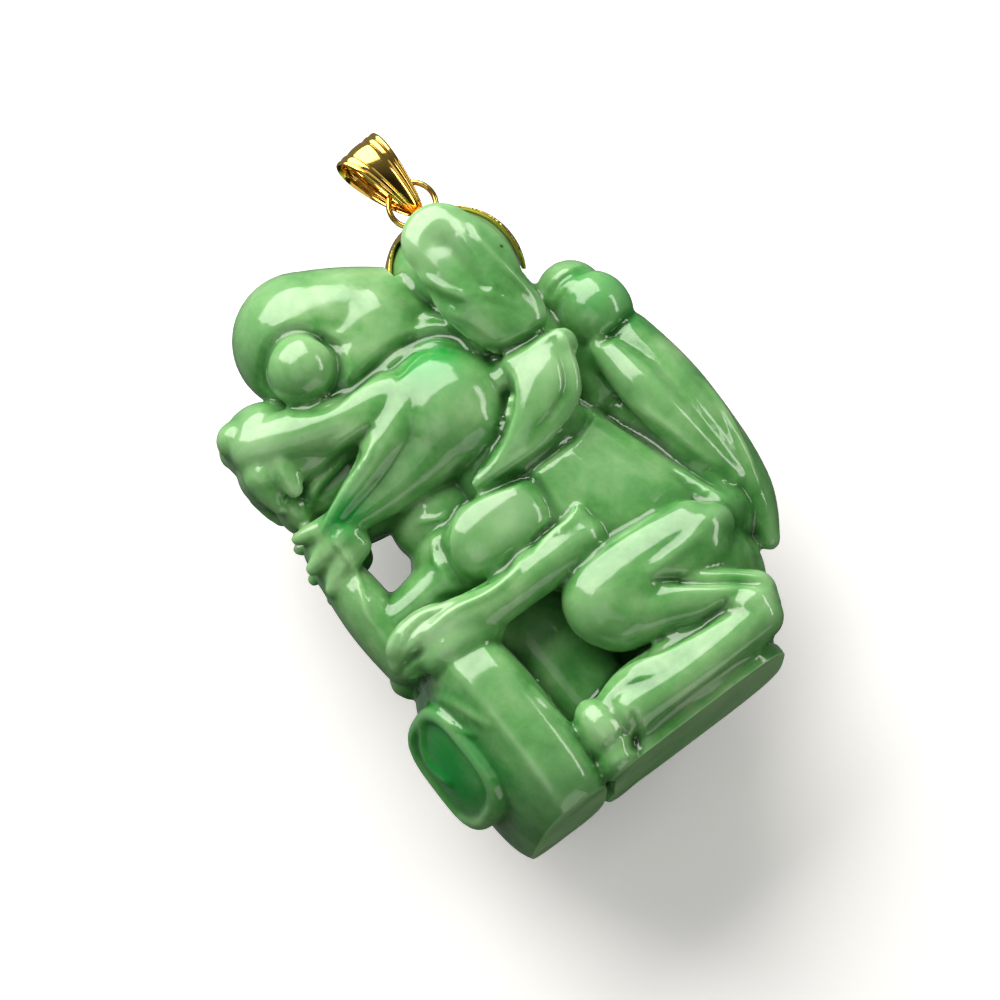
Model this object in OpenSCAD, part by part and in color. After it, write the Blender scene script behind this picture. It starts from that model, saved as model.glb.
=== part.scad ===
// Seated guardian beast pendant: one carved jade block with a petalled gold cap,
// an eye peg cemented into the stone, a jump ring and a fluted bail.
// Millimetres. +Z is up, the beast looks along -X, and its plane of symmetry is Y = 0.
// The origin is on the base, below the middle of the carving's length.

/* [Carving] */
// Length of the carving, from the medallion to the tail
carving_l = 38.6; // [31:0.2:48]
// Width of the carving across its haunches
carving_w = 18.2; // [15:0.2:23]
// Height of the carving, from its base to the top of its forehead
carving_h = 51.9; // [42:0.1:64]
// Depth of the flat ground off the underside
base_grind = 0.4; // [0.2:0.1:1]
// Sides of each carved lobe
lobe_sides = 12; // [10:2:16]

/* [Medallion] */
// Radius of the round medallion on the block
medal_r = 5.4; // [4:0.2:6.4]
// Thickness of the medallion
medal_t = 2.6; // [1.6:0.2:3.4]
// Turn of the medallion towards the left flank, in degrees
medal_turn = 18; // [0:2:24]

/* [Cap] */
// Outer radius of the dome that the cap follows
cap_r = 6; // [4.8:0.1:7.2]
// Thickness of the gold sheet of the cap
cap_t = 0.4; // [0.3:0.05:0.6]
// Angle that each petal reaches below the middle of the dome
petal_drop = 31; // [20:1:40]
// Half the width of the gap between two petals
petal_gap = 2.25; // [1.6:0.05:2.7]
// Radius of the dished crown
dish_r = 2.5; // [2:0.1:3]
// Depth of the dish below the top of the dome
dish_depth = 1.3; // [1:0.05:1.5]

/* [Eye peg] */
// Radius of the post
peg_r = 0.5; // [0.4:0.05:0.8]
// Length of the post below the crown of the cap
peg_l = 6.5; // [4:0.5:9]
// Mean radius of the eye at the head of the post
eye_r = 0.7; // [0.65:0.05:0.9]
// Radius of the eye's wire
eye_wire_r = 0.22; // [0.18:0.02:0.28]
// Thickness of the cured cement round the post
cement_t = 0.25; // [0.15:0.05:0.5]

/* [Jump ring] */
// Mean radius of the jump ring
ring_r = 2; // [1.9:0.05:2.4]
// Radius of the jump ring's wire
ring_wire_r = 0.25; // [0.2:0.01:0.28]
// Distance that the ring hangs towards the back from its eye
ring_shift = 0.9; // [0.6:0.1:1.2]

/* [Bail] */
// Height of the bail
bail_h = 7.6; // [6.2:0.1:9.2]
// Width of the bail at its top
bail_w = 4.4; // [3.4:0.1:5.2]
// Width of the bail where its two leaves meet
bail_tip_w = 1.15; // [0.9:0.05:1.3]
// Depth of the bail, from leaf to leaf
bail_d = 4.3; // [3.6:0.1:5.2]
// Thickness of the bail's gold
bail_t = 0.4; // [0.3:0.05:0.5]
// Height of the raised flutes on the bail
flute_h = 0.16; // [0.08:0.02:0.2]
// Turn of the bail about its height, in degrees
bail_turn = 10; // [0:1:14]
// Lean of the bail towards the face, in degrees
bail_lean = 8; // [0:1:12]

/* [Fits] */
// Space between the cap and the stone
cap_gap = 0.05; // [0.02:0.01:0.15]
// Space between the cap and the carving round it
cap_room = 0.3; // [0.25:0.05:0.5]
// Space between the post and the hole through the cap
peg_gap = 0.03; // [0.02:0.01:0.06]
// Space between the ears and the cap
ear_gap = 0.4; // [0.3:0.05:0.8]
// Space between the cement and the wall of the drilled hole
cement_gap = 0.03; // [0.02:0.01:0.1]
// Space that a moving piece keeps from the piece below it
hang_gap = 0.3; // [0.25:0.05:0.6]

/* [Hidden] */

jade_colour = [0.36, 0.66, 0.36];
gold_colour = [0.93, 0.74, 0.32];
cement_colour = [0.86, 0.83, 0.74];

// The lobes are placed on a model of this size, and stretched to the carving's own size
model_size = [38.6, 18.2, 51.7];
stretch = [
    carving_l / model_size.x,
    carving_w / model_size.y,
    (carving_h + base_grind) / model_size.z
];
grind_size = [2 * carving_l, 2 * carving_w, 20];

// Seat of the cap, on top of the head between the ears
seat = [8.3 * stretch.x, 0, carving_h - 9.2];
boss_r = cap_r - cap_t - cap_gap;
ear_t = 1.35;
ear_y = cap_r + ear_gap + ear_t;
dish_floor = cap_r - dish_depth;
dish_sag = sqrt(cap_r * cap_r - dish_r * dish_r) - dish_floor;
dent_r = (dish_r * dish_r + dish_sag * dish_sag) / (2 * dish_sag);
dish_z = seat.z + dish_floor;
hole_r = peg_r + cement_t + cement_gap;
hole_sides = 24;
hole_flat_r = hole_r / cos(180 / hole_sides);
stone_top_z = dish_z - cap_t - cap_gap;

// Ring: its lowest wire clears the dish, and it passes through the middle of the eye
ring_z = dish_z + hang_gap + ring_wire_r + ring_r;
eye_z = ring_z - sqrt(ring_r * ring_r - ring_shift * ring_shift);
ring_x = seat.x + ring_shift;

// Bail: its foot clears the top of the eye, and the ring passes between its leaves
bail_foot_z = eye_z + eye_r + eye_wire_r + hang_gap / 2;
bail_rings = 44;
bail_flutes = [0, 0.3, 0.66, 1, 0.66, 0.3, 0];

function at(p) = [p.x * stretch.x, p.y * stretch.y, p.z * stretch.z];
function sized(r) = [r.x * stretch.x, r.y * stretch.y, r.z * stretch.z];

// One carved lobe: an ellipsoid with its middle at p and its half sizes in r
module lobe(p, r)
    translate(at(p))
        scale(sized(r))
            sphere(r = 1, $fn = lobe_sides);

// A limb: neighbouring lobes in the list are blended into each other
module limb(lobes)
    for (i = [0 : len(lobes) - 2])
        hull() {
            lobe(lobes[i][0], lobes[i][1]);
            lobe(lobes[i + 1][0], lobes[i + 1][1]);
        }

// A shape on the left flank and its mirror image on the right
module pair() {
    children();
    mirror([0, 1, 0])
        children();
}

module head() {
    // Forehead and the back of the skull
    limb([[[-5.4, 0, 46], [5.7, 6.4, 5.9]], [[2.6, 0, 42.4], [4.3, 5.8, 4.3]]]);
    // Nose and the front of the upper lip
    limb([[[-13.3, 0, 41.2], [3.5, 4.4, 3]], [[-13.9, 0, 38.5], [3.1, 4.2, 3]]]);
    limb([[[-12, 0, 40.5], [3, 4.6, 3.4]], [[-3, 0, 38.5], [6, 6, 4]]]);
    // Roof of the mouth and the throat
    limb([[[-8, 0, 35.5], [2.6, 2.6, 2.8]], [[0, 0, 34], [7, 6.4, 5]]]);
    // Lower jaw and lip
    limb([[[-12.6, 0, 31.6], [2.8, 4, 1.9]], [[-3, 0, 31.4], [5, 5.4, 3]]]);
    limb([[[-14.9, 0, 33.9], [1.5, 2.8, 0.9]], [[-13.4, 0, 32], [1.6, 2.8, 1.2]]]);
    pair() {
        lobe([-7.3, 4.6, 42.8], [2.9, 2.9, 2.9]);
        limb([[[-9.6, 3.2, 45], [1.3, 2.2, 1.5]], [[-5, 4.6, 46.6], [2, 2, 1.3]]]);
        limb([
            [[-13, 2.9, 40.2], [2.8, 2, 2.5]],
            [[-7, 4.7, 37.3], [2.6, 2.6, 2]],
            [[0.8, 5, 33.3], [5, 3.9, 5.3]]
        ]);
        limb([[[-12.3, 2.8, 31.8], [2, 1.8, 1.4]], [[-2, 4.8, 31.3], [4, 3, 3]]]);
        limb([[[-13.6, 3, 38], [1.1, 1, 1.3]], [[-13.3, 3, 35.2], [0.8, 0.8, 0.8]]]);
    }
}

module ears() {
    pair() {
        hull() {
            ear_lobe([8, 44.1], [2.3, 3.2]);
            ear_lobe([9, 40.8], [3.5, 3]);
            ear_lobe([9, 36.2], [3.2, 2.6]);
        }
        limb([
            [[10.3, 6.6, 31.2], [2.3, 1.7, 2]],
            [[5, 6.9, 27.6], [3, 1.6, 1.6]],
            [[0, 5.8, 26.2], [2, 1.6, 1.2]]
        ]);
        limb([[[9, 5.4, 37], [3, 2.4, 3]], [[9.6, 4.8, 31.5], [3, 2.6, 3]]]);
    }
}

// An ear keeps clear of the cap whatever the width of the carving
module ear_lobe(p, r)
    translate([p.x * stretch.x, ear_y, p.y * stretch.z])
        scale([r.x * stretch.x, ear_t, r.y * stretch.z])
            sphere(r = 1, $fn = lobe_sides);

// The stone that fills the cap, and the skull below it
module crown() {
    translate(seat)
        sphere(r = boss_r, $fn = 2 * lobe_sides);
    hull() {
        translate(seat - [0, 0, 1])
            sphere(r = boss_r - 1, $fn = lobe_sides);
        lobe([6.5, 0, 34], [6, 6, 5]);
    }
}

module body() {
    // Neck, back and belly
    limb([
        [[3, 0, 33], [7.4, 6.2, 4]],
        [[2, 0, 26.5], [8.4, 6.3, 4.6]],
        [[5, 0, 20], [8.6, 6.7, 6]],
        [[8.6, 0, 12.5], [5.6, 7.4, 6.4]]
    ]);
    limb([
        [[-4.4, 0, 28], [4.8, 4.4, 4]],
        [[-5.2, 0, 25], [4.4, 4.4, 3]],
        [[-10.8, 0, 20.9], [4.2, 4, 3.1]],
        [[-2, 0, 21], [5, 5.4, 4]]
    ]);
    // Beard down to the paws
    limb([
        [[-15.2, 0, 31.3], [1.7, 2.8, 1.7]],
        [[-15, 0, 28.4], [1.9, 2.8, 1.9]],
        [[-14.8, 0, 24.4], [2.2, 3, 2.4]],
        [[-14.6, 0, 20.6], [2.3, 3.4, 2.8]]
    ]);
    // Web of stone behind the hollow of the lap
    limb([[[-4.6, 0, 16], [5, 2.6, 3]], [[-4.6, 0, 7], [5, 2.6, 4]]]);
    pair() {
        lobe([-2.8, 5.2, 22.3], [4.5, 2.8, 3.6]);
        limb([
            [[1.6, 5.9, 18.4], [2.3, 2.2, 1.8]],
            [[-4.4, 6, 17.6], [2, 2.2, 1.8]],
            [[-9.5, 5.8, 18.4], [2.2, 2.4, 1.9]],
            [[-14, 5, 18.6], [2, 2.4, 1.7]]
        ]);
        lobe([3.5, 6.4, 18.7], [0.9, 1.2, 1.3]);
    }
}

module legs() {
    pair() {
        limb([[[1.6, 6.1, 12.1], [3.5, 3, 4.1]], [[8, 5.7, 11.4], [5, 3.2, 4.5]]]);
        limb([[[0.5, 6.4, 8.4], [2.6, 2.4, 1.9]], [[9.3, 6.4, 6.4], [3, 2.6, 2.6]]]);
        limb([[[-4.4, 6.6, 3.2], [1.8, 2.3, 2.9]], [[2, 6.9, 3], [3, 2.3, 2.9]], [[9.5, 6.9, 2.9], [2.9, 2.3, 2.8]]]);
        lobe([-7.3, 5.4, 2.7], [2.1, 2.9, 2.7]);
    }
    limb([[[-6, 0, 3], [3, 6, 3.3]], [[8.4, 0, 3], [3.6, 6.6, 3.3]]]);
    limb([[[10.2, 0, 12.5], [4.6, 6.6, 4]], [[10.2, 0, 8.6], [4.8, 6.2, 3]]]);
}

module tail() {
    limb([
        [[15.2, 0, 35.2], [2.7, 3, 2.5]],
        [[15.8, 0, 31.5], [2.9, 3.6, 3]],
        [[16.4, 0, 25], [3.1, 4, 4.2]],
        [[16.6, 0, 17], [2.9, 4, 4.6]],
        [[15.6, 0, 10.6], [1.9, 3.2, 3]]
    ]);
    limb([[[13.4, 0, 28], [2.8, 2.4, 5]], [[13.4, 0, 19], [3, 3.2, 5]], [[12.5, 0, 13], [2.6, 4.4, 4]]]);
    limb([[[13.5, 0, 35], [2.4, 3, 2.2]], [[9.5, 0, 34], [3, 4, 3]]]);
    pair() lobe([15.8, 2.4, 32.3], [2.9, 2.3, 3.3]);
}

// The block turns the same way as the medallion on its front
module treasure_block() {
    hull() {
        for (z = [3.2, 13]) {
            lobe([-14.8, 5.3, z], [3, 3, 3.2]);
            lobe([-12, -5.3, z], [3, 3, 3.2]);
        }
        pair() {
            lobe([-10.4, 5.3, 3.2], [2.6, 3.1, 3.2]);
            lobe([-10.8, 5.2, 14], [2.8, 3.1, 3.2]);
        }
    }
    medallion();
}

module medallion()
    translate(at([-17.75, -0.4, 9.1]))
        rotate([0, -90, medal_turn]) {
            hull() {
                translate([0, 0, -medal_t + 0.4])
                    cylinder(r = medal_r, h = medal_t - 0.9, $fn = 2 * lobe_sides);
                translate([0, 0, -medal_t])
                    cylinder(r = medal_r - 0.6, h = medal_t, $fn = 2 * lobe_sides);
            }
            translate([0, 0, -3.5])
                cylinder(r = medal_r - 1, h = 3.5, $fn = lobe_sides);
        }

// The one carved stone, ground flat below and drilled for the peg
module jade_carving()
    color(jade_colour)
        difference() {
            union() {
                crown();
                translate([0, 0, -base_grind]) {
                    head();
                    ears();
                    body();
                    legs();
                    tail();
                    treasure_block();
                }
            }
            translate([-grind_size.x / 2, -grind_size.y / 2, -grind_size.z])
                cube(grind_size);
            cap_space();
            translate([seat.x, seat.y, dish_z - peg_l - cement_t])
                cylinder(r = hole_flat_r, h = peg_l + cap_r, $fn = hole_sides);
        }

// Space cut in the stone for the dome of the cap, its petals and its dished crown
module cap_space() {
    translate(seat)
        difference() {
            sphere(r = cap_r + cap_room, $fn = 2 * lobe_sides);
            sphere(r = boss_r, $fn = 2 * lobe_sides);
            translate([-2 * cap_r, -2 * cap_r, -4 * cap_r - petal_tip_z() - cap_room])
                cube(4 * cap_r);
        }
    translate([seat.x, seat.y, stone_top_z])
        cylinder(r = dish_r + cap_t + cap_room, h = cap_r, $fn = 2 * lobe_sides);
}

// Outline of the gap between two petals, across the dome: round above, flared below
function gap_outline(top) = concat(
    [for (a = [0 : 10 : 180]) [petal_gap * cos(a), top * sin(a)]],
    [
        [-petal_gap * 1.15, -cap_r * 0.3],
        [-petal_tip_x(), -petal_tip_z()],
        [-cap_r, -cap_r * 0.75],
        [cap_r, -cap_r * 0.75],
        [petal_tip_x(), -petal_tip_z()],
        [petal_gap * 1.15, -cap_r * 0.3]
    ]
);
function petal_tip_z() = cap_r * sin(petal_drop);
function petal_tip_x() = cap_r * cos(petal_drop) * sin(45);

// Section of the dished dome: its outer skin, less its inner one
module dome_section(skin)
    difference() {
        circle(r = cap_r - skin, $fn = 96);
        translate([0, dish_floor + dent_r])
            circle(r = dent_r + skin, $fn = 96);
    }

module cap_section()
    difference() {
        dome_section(0);
        dome_section(cap_t);
        translate([-2 * cap_r, -2 * cap_r])
            square([2 * cap_r + peg_r + peg_gap, 4 * cap_r]);
        translate([-2 * cap_r, -2 * cap_r - petal_tip_z()])
            square([4 * cap_r, 2 * cap_r]);
    }

module bead_cap()
    color(gold_colour)
        translate(seat)
            difference() {
                rotate_extrude($fn = 96)
                    cap_section();
                for (turn = [45 : 90 : 315])
                    rotate([90, 0, turn])
                        linear_extrude(height = cap_r + 1)
                            polygon(gap_outline(cap_r - 1.3));
            }

module eye_peg()
    color(gold_colour)
        union() {
            translate([seat.x, seat.y, dish_z - peg_l])
                cylinder(r = peg_r, h = peg_l + 0.1, $fn = 32);
            translate([seat.x, seat.y, eye_z])
                rotate([0, 90, 0])
                    rotate_extrude($fn = 48)
                        translate([eye_r, 0])
                            circle(r = eye_wire_r, $fn = 24);
        }

module peg_cement()
    color(cement_colour)
        translate([seat.x, seat.y, dish_z - peg_l - cement_t])
            difference() {
                cylinder(r = peg_r + cement_t, h = peg_l - cap_t, $fn = 32);
                translate([0, 0, cement_t])
                    cylinder(r = peg_r, h = peg_l, $fn = 32);
            }

module jump_ring()
    color(gold_colour)
        translate([ring_x, 0, ring_z])
            rotate([90, 0, 0])
                rotate_extrude($fn = 64)
                    translate([ring_r, 0])
                        circle(r = ring_wire_r, $fn = 24);

// Middle line of the bail, in a plane across its width: a closed egg, narrow at its foot
function bail_line(a) = [
    (bail_d - bail_t) / 2 * sin(a) * (0.78 - 0.3 * cos(a)),
    bail_h / 2 - (bail_h - bail_t) / 2 * cos(a)
];
function bail_out(a) =
    let (d = bail_line(a + 1) - bail_line(a - 1))
    [d.y, -d.x] / norm(d);
// Width of the bail at an angle round its line, and one cross-section of it
function bail_width(a) =
    bail_tip_w + (bail_w - bail_tip_w) * pow((1 - cos(a)) / 2, 0.8);
function bail_section(a) =
    let (c = bail_line(a), n = bail_out(a), w = bail_width(a), last = len(bail_flutes) - 1)
    concat(
        [for (k = [0 : last])
            let (o = c + n * (bail_t / 2 + flute_h * bail_flutes[k]))
            [w * (k / last - 0.5), o.x, o.y]],
        [for (k = [last, 0])
            let (o = c - n * bail_t / 2)
            [w * (k / last - 0.5), o.x, o.y]]
    );

module bail() {
    side = len(bail_flutes) + 2;
    points = [for (i = [0 : bail_rings - 1]) each bail_section(360 * i / bail_rings)];
    faces = [
        for (i = [0 : bail_rings - 1], k = [0 : side - 1])
            let (j = (i + 1) % bail_rings, m = (k + 1) % side)
            [i * side + k, i * side + m, j * side + m, j * side + k]
    ];
    color(gold_colour)
        translate([ring_x, 0, bail_foot_z])
            rotate([0, -bail_lean, bail_turn])
                polyhedron(points, faces);
}

jade_carving();
bead_cap();
eye_peg();
peg_cement();
jump_ring();
bail();
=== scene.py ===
"""Looks of the jade pendant figurine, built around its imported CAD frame.

The carving is modelled in millimetres from rounded lobes and limbs, fused into one stone, then chased
with grooves and ridges as a carver's burr would, and polished. The gold fittings are made as sheet and wire.
Everything is placed from the boxes of the frame's own nodes.
"""

import logging
import math
from dataclasses import dataclass, field
from enum import Enum
from typing import Sequence

import bpy
import numpy as np
from mathutils import Matrix, Vector


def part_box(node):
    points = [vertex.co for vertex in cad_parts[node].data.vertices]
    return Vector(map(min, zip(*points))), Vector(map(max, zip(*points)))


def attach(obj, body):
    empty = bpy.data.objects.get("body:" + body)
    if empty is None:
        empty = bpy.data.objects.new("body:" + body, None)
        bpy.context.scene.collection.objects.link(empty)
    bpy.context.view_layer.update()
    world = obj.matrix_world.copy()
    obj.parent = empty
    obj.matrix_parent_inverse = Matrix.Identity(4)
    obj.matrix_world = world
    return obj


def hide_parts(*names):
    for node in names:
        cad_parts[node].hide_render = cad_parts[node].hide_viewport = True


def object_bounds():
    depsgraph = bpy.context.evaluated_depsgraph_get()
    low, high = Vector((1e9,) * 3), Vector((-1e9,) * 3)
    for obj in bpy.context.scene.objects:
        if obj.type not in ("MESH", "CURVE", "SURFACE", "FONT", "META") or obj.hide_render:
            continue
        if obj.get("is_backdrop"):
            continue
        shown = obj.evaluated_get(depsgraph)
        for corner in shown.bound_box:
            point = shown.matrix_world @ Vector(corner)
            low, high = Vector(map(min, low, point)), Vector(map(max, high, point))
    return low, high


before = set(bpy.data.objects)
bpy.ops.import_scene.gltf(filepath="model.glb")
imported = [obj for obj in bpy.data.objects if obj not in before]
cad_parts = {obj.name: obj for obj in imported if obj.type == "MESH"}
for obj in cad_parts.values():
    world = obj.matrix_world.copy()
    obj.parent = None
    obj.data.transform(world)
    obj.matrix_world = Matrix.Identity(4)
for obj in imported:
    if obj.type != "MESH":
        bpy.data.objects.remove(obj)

logging.basicConfig(level=logging.INFO, format="%(message)s")
LOG = logging.getLogger("figurine")

MM = 0.001
Point = tuple[float, float, float]
Knot = tuple[float, float, float, float]


class Side(Enum):
    """Which flank of the stone a chased line is cut on, as the sign of Y."""

    LEFT = -1
    RIGHT = 1


# --------------------------------------------------------------------------- small helpers


def deselect_all() -> None:
    """Leaves edit mode and deselects every object."""
    if bpy.context.object is not None and bpy.context.object.mode != "OBJECT":
        bpy.ops.object.mode_set(mode="OBJECT")
    for thing in bpy.context.selected_objects:
        thing.select_set(False)


def make_active(thing: bpy.types.Object) -> None:
    """Makes one object the only selected and active one.

    Args:
        thing: the object to work on.
    """
    deselect_all()
    thing.select_set(True)
    bpy.context.view_layer.objects.active = thing


def apply_modifier(thing: bpy.types.Object, kind: str, **settings: object) -> None:
    """Adds a modifier with its settings and applies it.

    Args:
        thing: the object that is changed.
        kind: the modifier's type, such as "BEVEL".
        **settings: values set on the modifier before it is applied.
    """
    make_active(thing)
    modifier = thing.modifiers.new(kind.lower(), kind)
    for name, value in settings.items():
        setattr(modifier, name, value)
    bpy.ops.object.modifier_apply(modifier=modifier.name)


def join(things: Sequence[bpy.types.Object], name: str) -> bpy.types.Object:
    """Joins meshes into one object.

    Args:
        things: the meshes; the first one is kept.
        name: the name of the joined object and its mesh.

    Returns:
        The joined object.
    """
    deselect_all()
    for thing in things:
        thing.select_set(True)
    bpy.context.view_layer.objects.active = things[0]
    if len(things) > 1:
        bpy.ops.object.join()
    things[0].name = name
    things[0].data.name = name
    return things[0]


def linear(hex_colour: str) -> tuple[float, float, float, float]:
    """Turns an sRGB hex colour to the linear colour that shaders take.

    Args:
        hex_colour: six hex digits, with or without a leading "#".

    Returns:
        Linear red, green, blue, and an alpha of 1.
    """
    digits = hex_colour.lstrip("#")
    channels = [int(digits[i : i + 2], 16) / 255 for i in (0, 2, 4)]
    bent = [c / 12.92 if c <= 0.04045 else ((c + 0.055) / 1.055) ** 2.4 for c in channels]
    return (bent[0], bent[1], bent[2], 1.0)


def add_node(
    tree: bpy.types.NodeTree, kind: str, settings: dict | None = None, **links: object
) -> bpy.types.Node:
    """Adds a shader node with its settings and input links.

    Args:
        tree: the node tree.
        kind: the node's type, such as "ShaderNodeTexNoise".
        settings: attributes, and inputs as "in:NAME" or "in:INDEX" with their values.
        **links: input name, with "_" for a space, to the output socket that feeds it.

    Returns:
        The new node.
    """
    node = tree.nodes.new(kind)
    for name, value in (settings or {}).items():
        if name.startswith("in:"):
            key = name[3:]
            node.inputs[int(key) if key.isdigit() else key].default_value = value
        else:
            setattr(node, name, value)
    for name, socket in links.items():
        key = name.replace("_", " ")
        key = int(key[3:]) if key.startswith("at ") else key
        tree.links.new(socket, node.inputs[key])
    return node


# --------------------------------------------------------------------------- clay


@dataclass
class Clay:
    """Rounded lumps in millimetres that are fused into one stone.

    Attributes:
        segments: sides of each ball and limb.
        parts: the lumps made so far.
    """

    segments: int = 40
    parts: list[bpy.types.Object] = field(default_factory=list)

    def ball(self, centre: Point, radii: Point, both: bool = False) -> None:
        """Adds an ellipsoid.

        Args:
            centre: its middle; with both, Y is the distance from the plane of symmetry.
            radii: its half sizes.
            both: whether its mirror image is added too.
        """
        deselect_all()
        bpy.ops.mesh.primitive_uv_sphere_add(segments=self.segments, ring_count=self.segments // 2)
        lump = bpy.context.object
        lump.data.transform(Matrix.Translation(centre) @ Matrix.Diagonal((*radii, 1)))
        self._keep(lump, both)

    def pillow(
        self, centre: Point, radii: Point, power: float, lean: float = 0.0, both: bool = False
    ) -> None:
        """Adds a rounded block, between a ball and a box.

        Args:
            centre: its middle.
            radii: its half sizes.
            power: 2 for a ball; a higher number is squarer.
            lean: how far its front corner on the left is set back, as a share of Y.
            both: whether its mirror image is added too.
        """
        deselect_all()
        bpy.ops.mesh.primitive_uv_sphere_add(segments=96, ring_count=64)
        lump = bpy.context.object
        for vertex in lump.data.vertices:
            size = sum(abs(c) ** power for c in vertex.co) ** (1 / power)
            vertex.co = Vector([c / size * r for c, r in zip(vertex.co, radii)])
            if vertex.co.x < 0:
                vertex.co.x -= lean * vertex.co.y * min(1.0, -vertex.co.x / radii[0] * 1.5)
        lump.data.transform(Matrix.Translation(centre))
        self._keep(lump, both)

    def limb(self, path: Sequence[Knot], flatten: float = 1.0, both: bool = False) -> None:
        """Adds a limb whose thickness changes along a smooth path, with round ends.

        Args:
            path: X, Y, Z and radius of each point that shapes it.
            flatten: its half size in Y over its radius.
            both: whether its mirror image is added too.
        """
        curve = bpy.data.curves.new("limb", "CURVE")
        curve.dimensions = "3D"
        curve.bevel_depth = 1.0
        curve.bevel_resolution = self.segments // 4
        curve.use_fill_caps = True
        curve.resolution_u = 10
        spline = curve.splines.new("NURBS")
        spline.points.add(len(path) - 1)
        for knot, (x, y, z, r) in zip(spline.points, path):
            knot.co = (x, y / flatten, z, 1)
            knot.radius = r
        spline.order_u = 3
        spline.use_endpoint_u = True
        lump = bpy.data.objects.new("limb", curve)
        bpy.context.collection.objects.link(lump)
        make_active(lump)
        bpy.ops.object.convert(target="MESH")
        lump = bpy.context.object
        lump.data.transform(Matrix.Diagonal((1, flatten, 1, 1)))
        self._keep(lump, both)
        for x, y, z, r in (path[0], path[-1]):
            self.ball((x, y, z), (r, r * flatten, r), both=both)

    def _keep(self, lump: bpy.types.Object, both: bool) -> None:
        """Keeps a lump, and its mirror image if asked."""
        self.parts.append(lump)
        if both:
            twin = lump.copy()
            twin.data = lump.data.copy()
            twin.data.transform(Matrix.Diagonal((1, -1, 1, 1)))
            twin.data.flip_normals()
            bpy.context.collection.objects.link(twin)
            self.parts.append(twin)

    def fuse(self, name: str, voxel: float, polish: int) -> bpy.types.Object:
        """Fuses the lumps into one closed skin.

        Args:
            name: the name of the result.
            voxel: size of the remeshing grid.
            polish: passes of smoothing.

        Returns:
            The fused stone.
        """
        stone = join(self.parts, name)
        self.parts = []
        apply_modifier(stone, "REMESH", mode="VOXEL", voxel_size=voxel)
        apply_modifier(stone, "SMOOTH", factor=0.5, iterations=polish)
        return stone


# --------------------------------------------------------------------------- burr


@dataclass(frozen=True)
class Chase:
    """A line that the burr cuts on both flanks.

    Attributes:
        name: what it marks.
        width: half its width.
        depth: its depth at its middle; a ridge where it is negative.
        inner: least distance from the plane of symmetry that it reaches.
        path: the (X, Z) points that it runs through.
    """

    name: str
    width: float
    depth: float
    inner: float
    path: tuple[tuple[float, float], ...]


@dataclass
class Burr:
    """A carver's burr: moves the skin of a stone along its normals.

    Attributes:
        stone: the mesh that is carved, in millimetres.
    """

    stone: bpy.types.Object

    def __post_init__(self) -> None:
        """Reads the skin's points."""
        self.points = np.zeros(len(self.stone.data.vertices) * 3)
        self.stone.data.vertices.foreach_get("co", self.points)
        self.points = self.points.reshape(-1, 3)
        self.refresh()

    def refresh(self) -> None:
        """Reads the normals of the skin as it now is."""
        self.stone.data.vertices.foreach_set("co", self.points.ravel())
        self.stone.data.update()
        normals = np.zeros(len(self.stone.data.vertices) * 3, np.float32)
        self.stone.data.vertex_normals.foreach_get("vector", normals)
        self.normals = normals.reshape(-1, 3).astype(float)

    @staticmethod
    def smooth_path(path: np.ndarray, steps: int = 8) -> np.ndarray:
        """Rounds a line of points off with a Catmull-Rom curve.

        Args:
            path: the line's points, one row each.
            steps: pieces that each stretch is cut into.

        Returns:
            The rounded line's points.
        """
        ends = np.vstack([2 * path[0] - path[1], path, 2 * path[-1] - path[-2]])
        out = []
        for i in range(1, len(ends) - 2):
            for t in np.linspace(0, 1, steps, endpoint=False):
                a, b, c, d = ends[i - 1 : i + 3]
                bend = 2 * b + (c - a) * t
                bend = bend + (2 * a - 5 * b + 4 * c - d) * t**2
                bend = bend + (3 * b - a - 3 * c + d) * t**3
                out.append(0.5 * bend)
        return np.array(out + [path[-1]])

    def line(self, chase: Chase, side: Side, fade: float = 0.25) -> None:
        """Cuts a groove or raises a ridge on one flank.

        Args:
            chase: the line.
            side: the flank.
            fade: share of the line's length that fades out at each end.
        """
        line = self.smooth_path(np.array(chase.path, float))
        line = np.stack([line[:, 0], np.zeros(len(line)), line[:, 1]], 1)
        toward = np.array([0.0, side.value, 0.0])
        near = (self.points[:, 1] * side.value > chase.inner) & (self.normals @ toward > 0.05)
        flat = np.eye(3) - np.outer(toward, toward)
        low, high = line.min(0) - chase.width, line.max(0) + chase.width
        at = self.points @ flat
        near &= np.all((at >= low - 1e-9) & (at <= high + 1e-9), 1)
        index = np.flatnonzero(near)
        if not len(index):
            return
        at = at[index]
        best = np.full(len(index), 1e9)
        along = np.zeros(len(index))
        lengths = np.concatenate([[0], np.cumsum(np.linalg.norm(np.diff(line, axis=0), axis=1))])
        for i in range(len(line) - 1):
            step = line[i + 1] - line[i]
            size = step @ step
            if size < 1e-12:
                continue
            t = np.clip((at - line[i]) @ step / size, 0, 1)
            distance = np.linalg.norm(at - line[i] - t[:, None] * step, axis=1)
            closer = distance < best
            best[closer] = distance[closer]
            along[closer] = (lengths[i] + t * math.sqrt(size))[closer]
        share = np.clip(1 - best / chase.width, 0, 1)
        share = share * share * (3 - 2 * share)
        run = along / lengths[-1]
        share *= np.clip(np.minimum(run, 1 - run) / fade, 0, 1) ** 0.7
        self.points[index] -= self.normals[index] * (chase.depth * share)[:, None]


# --------------------------------------------------------------------------- finishes


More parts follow.
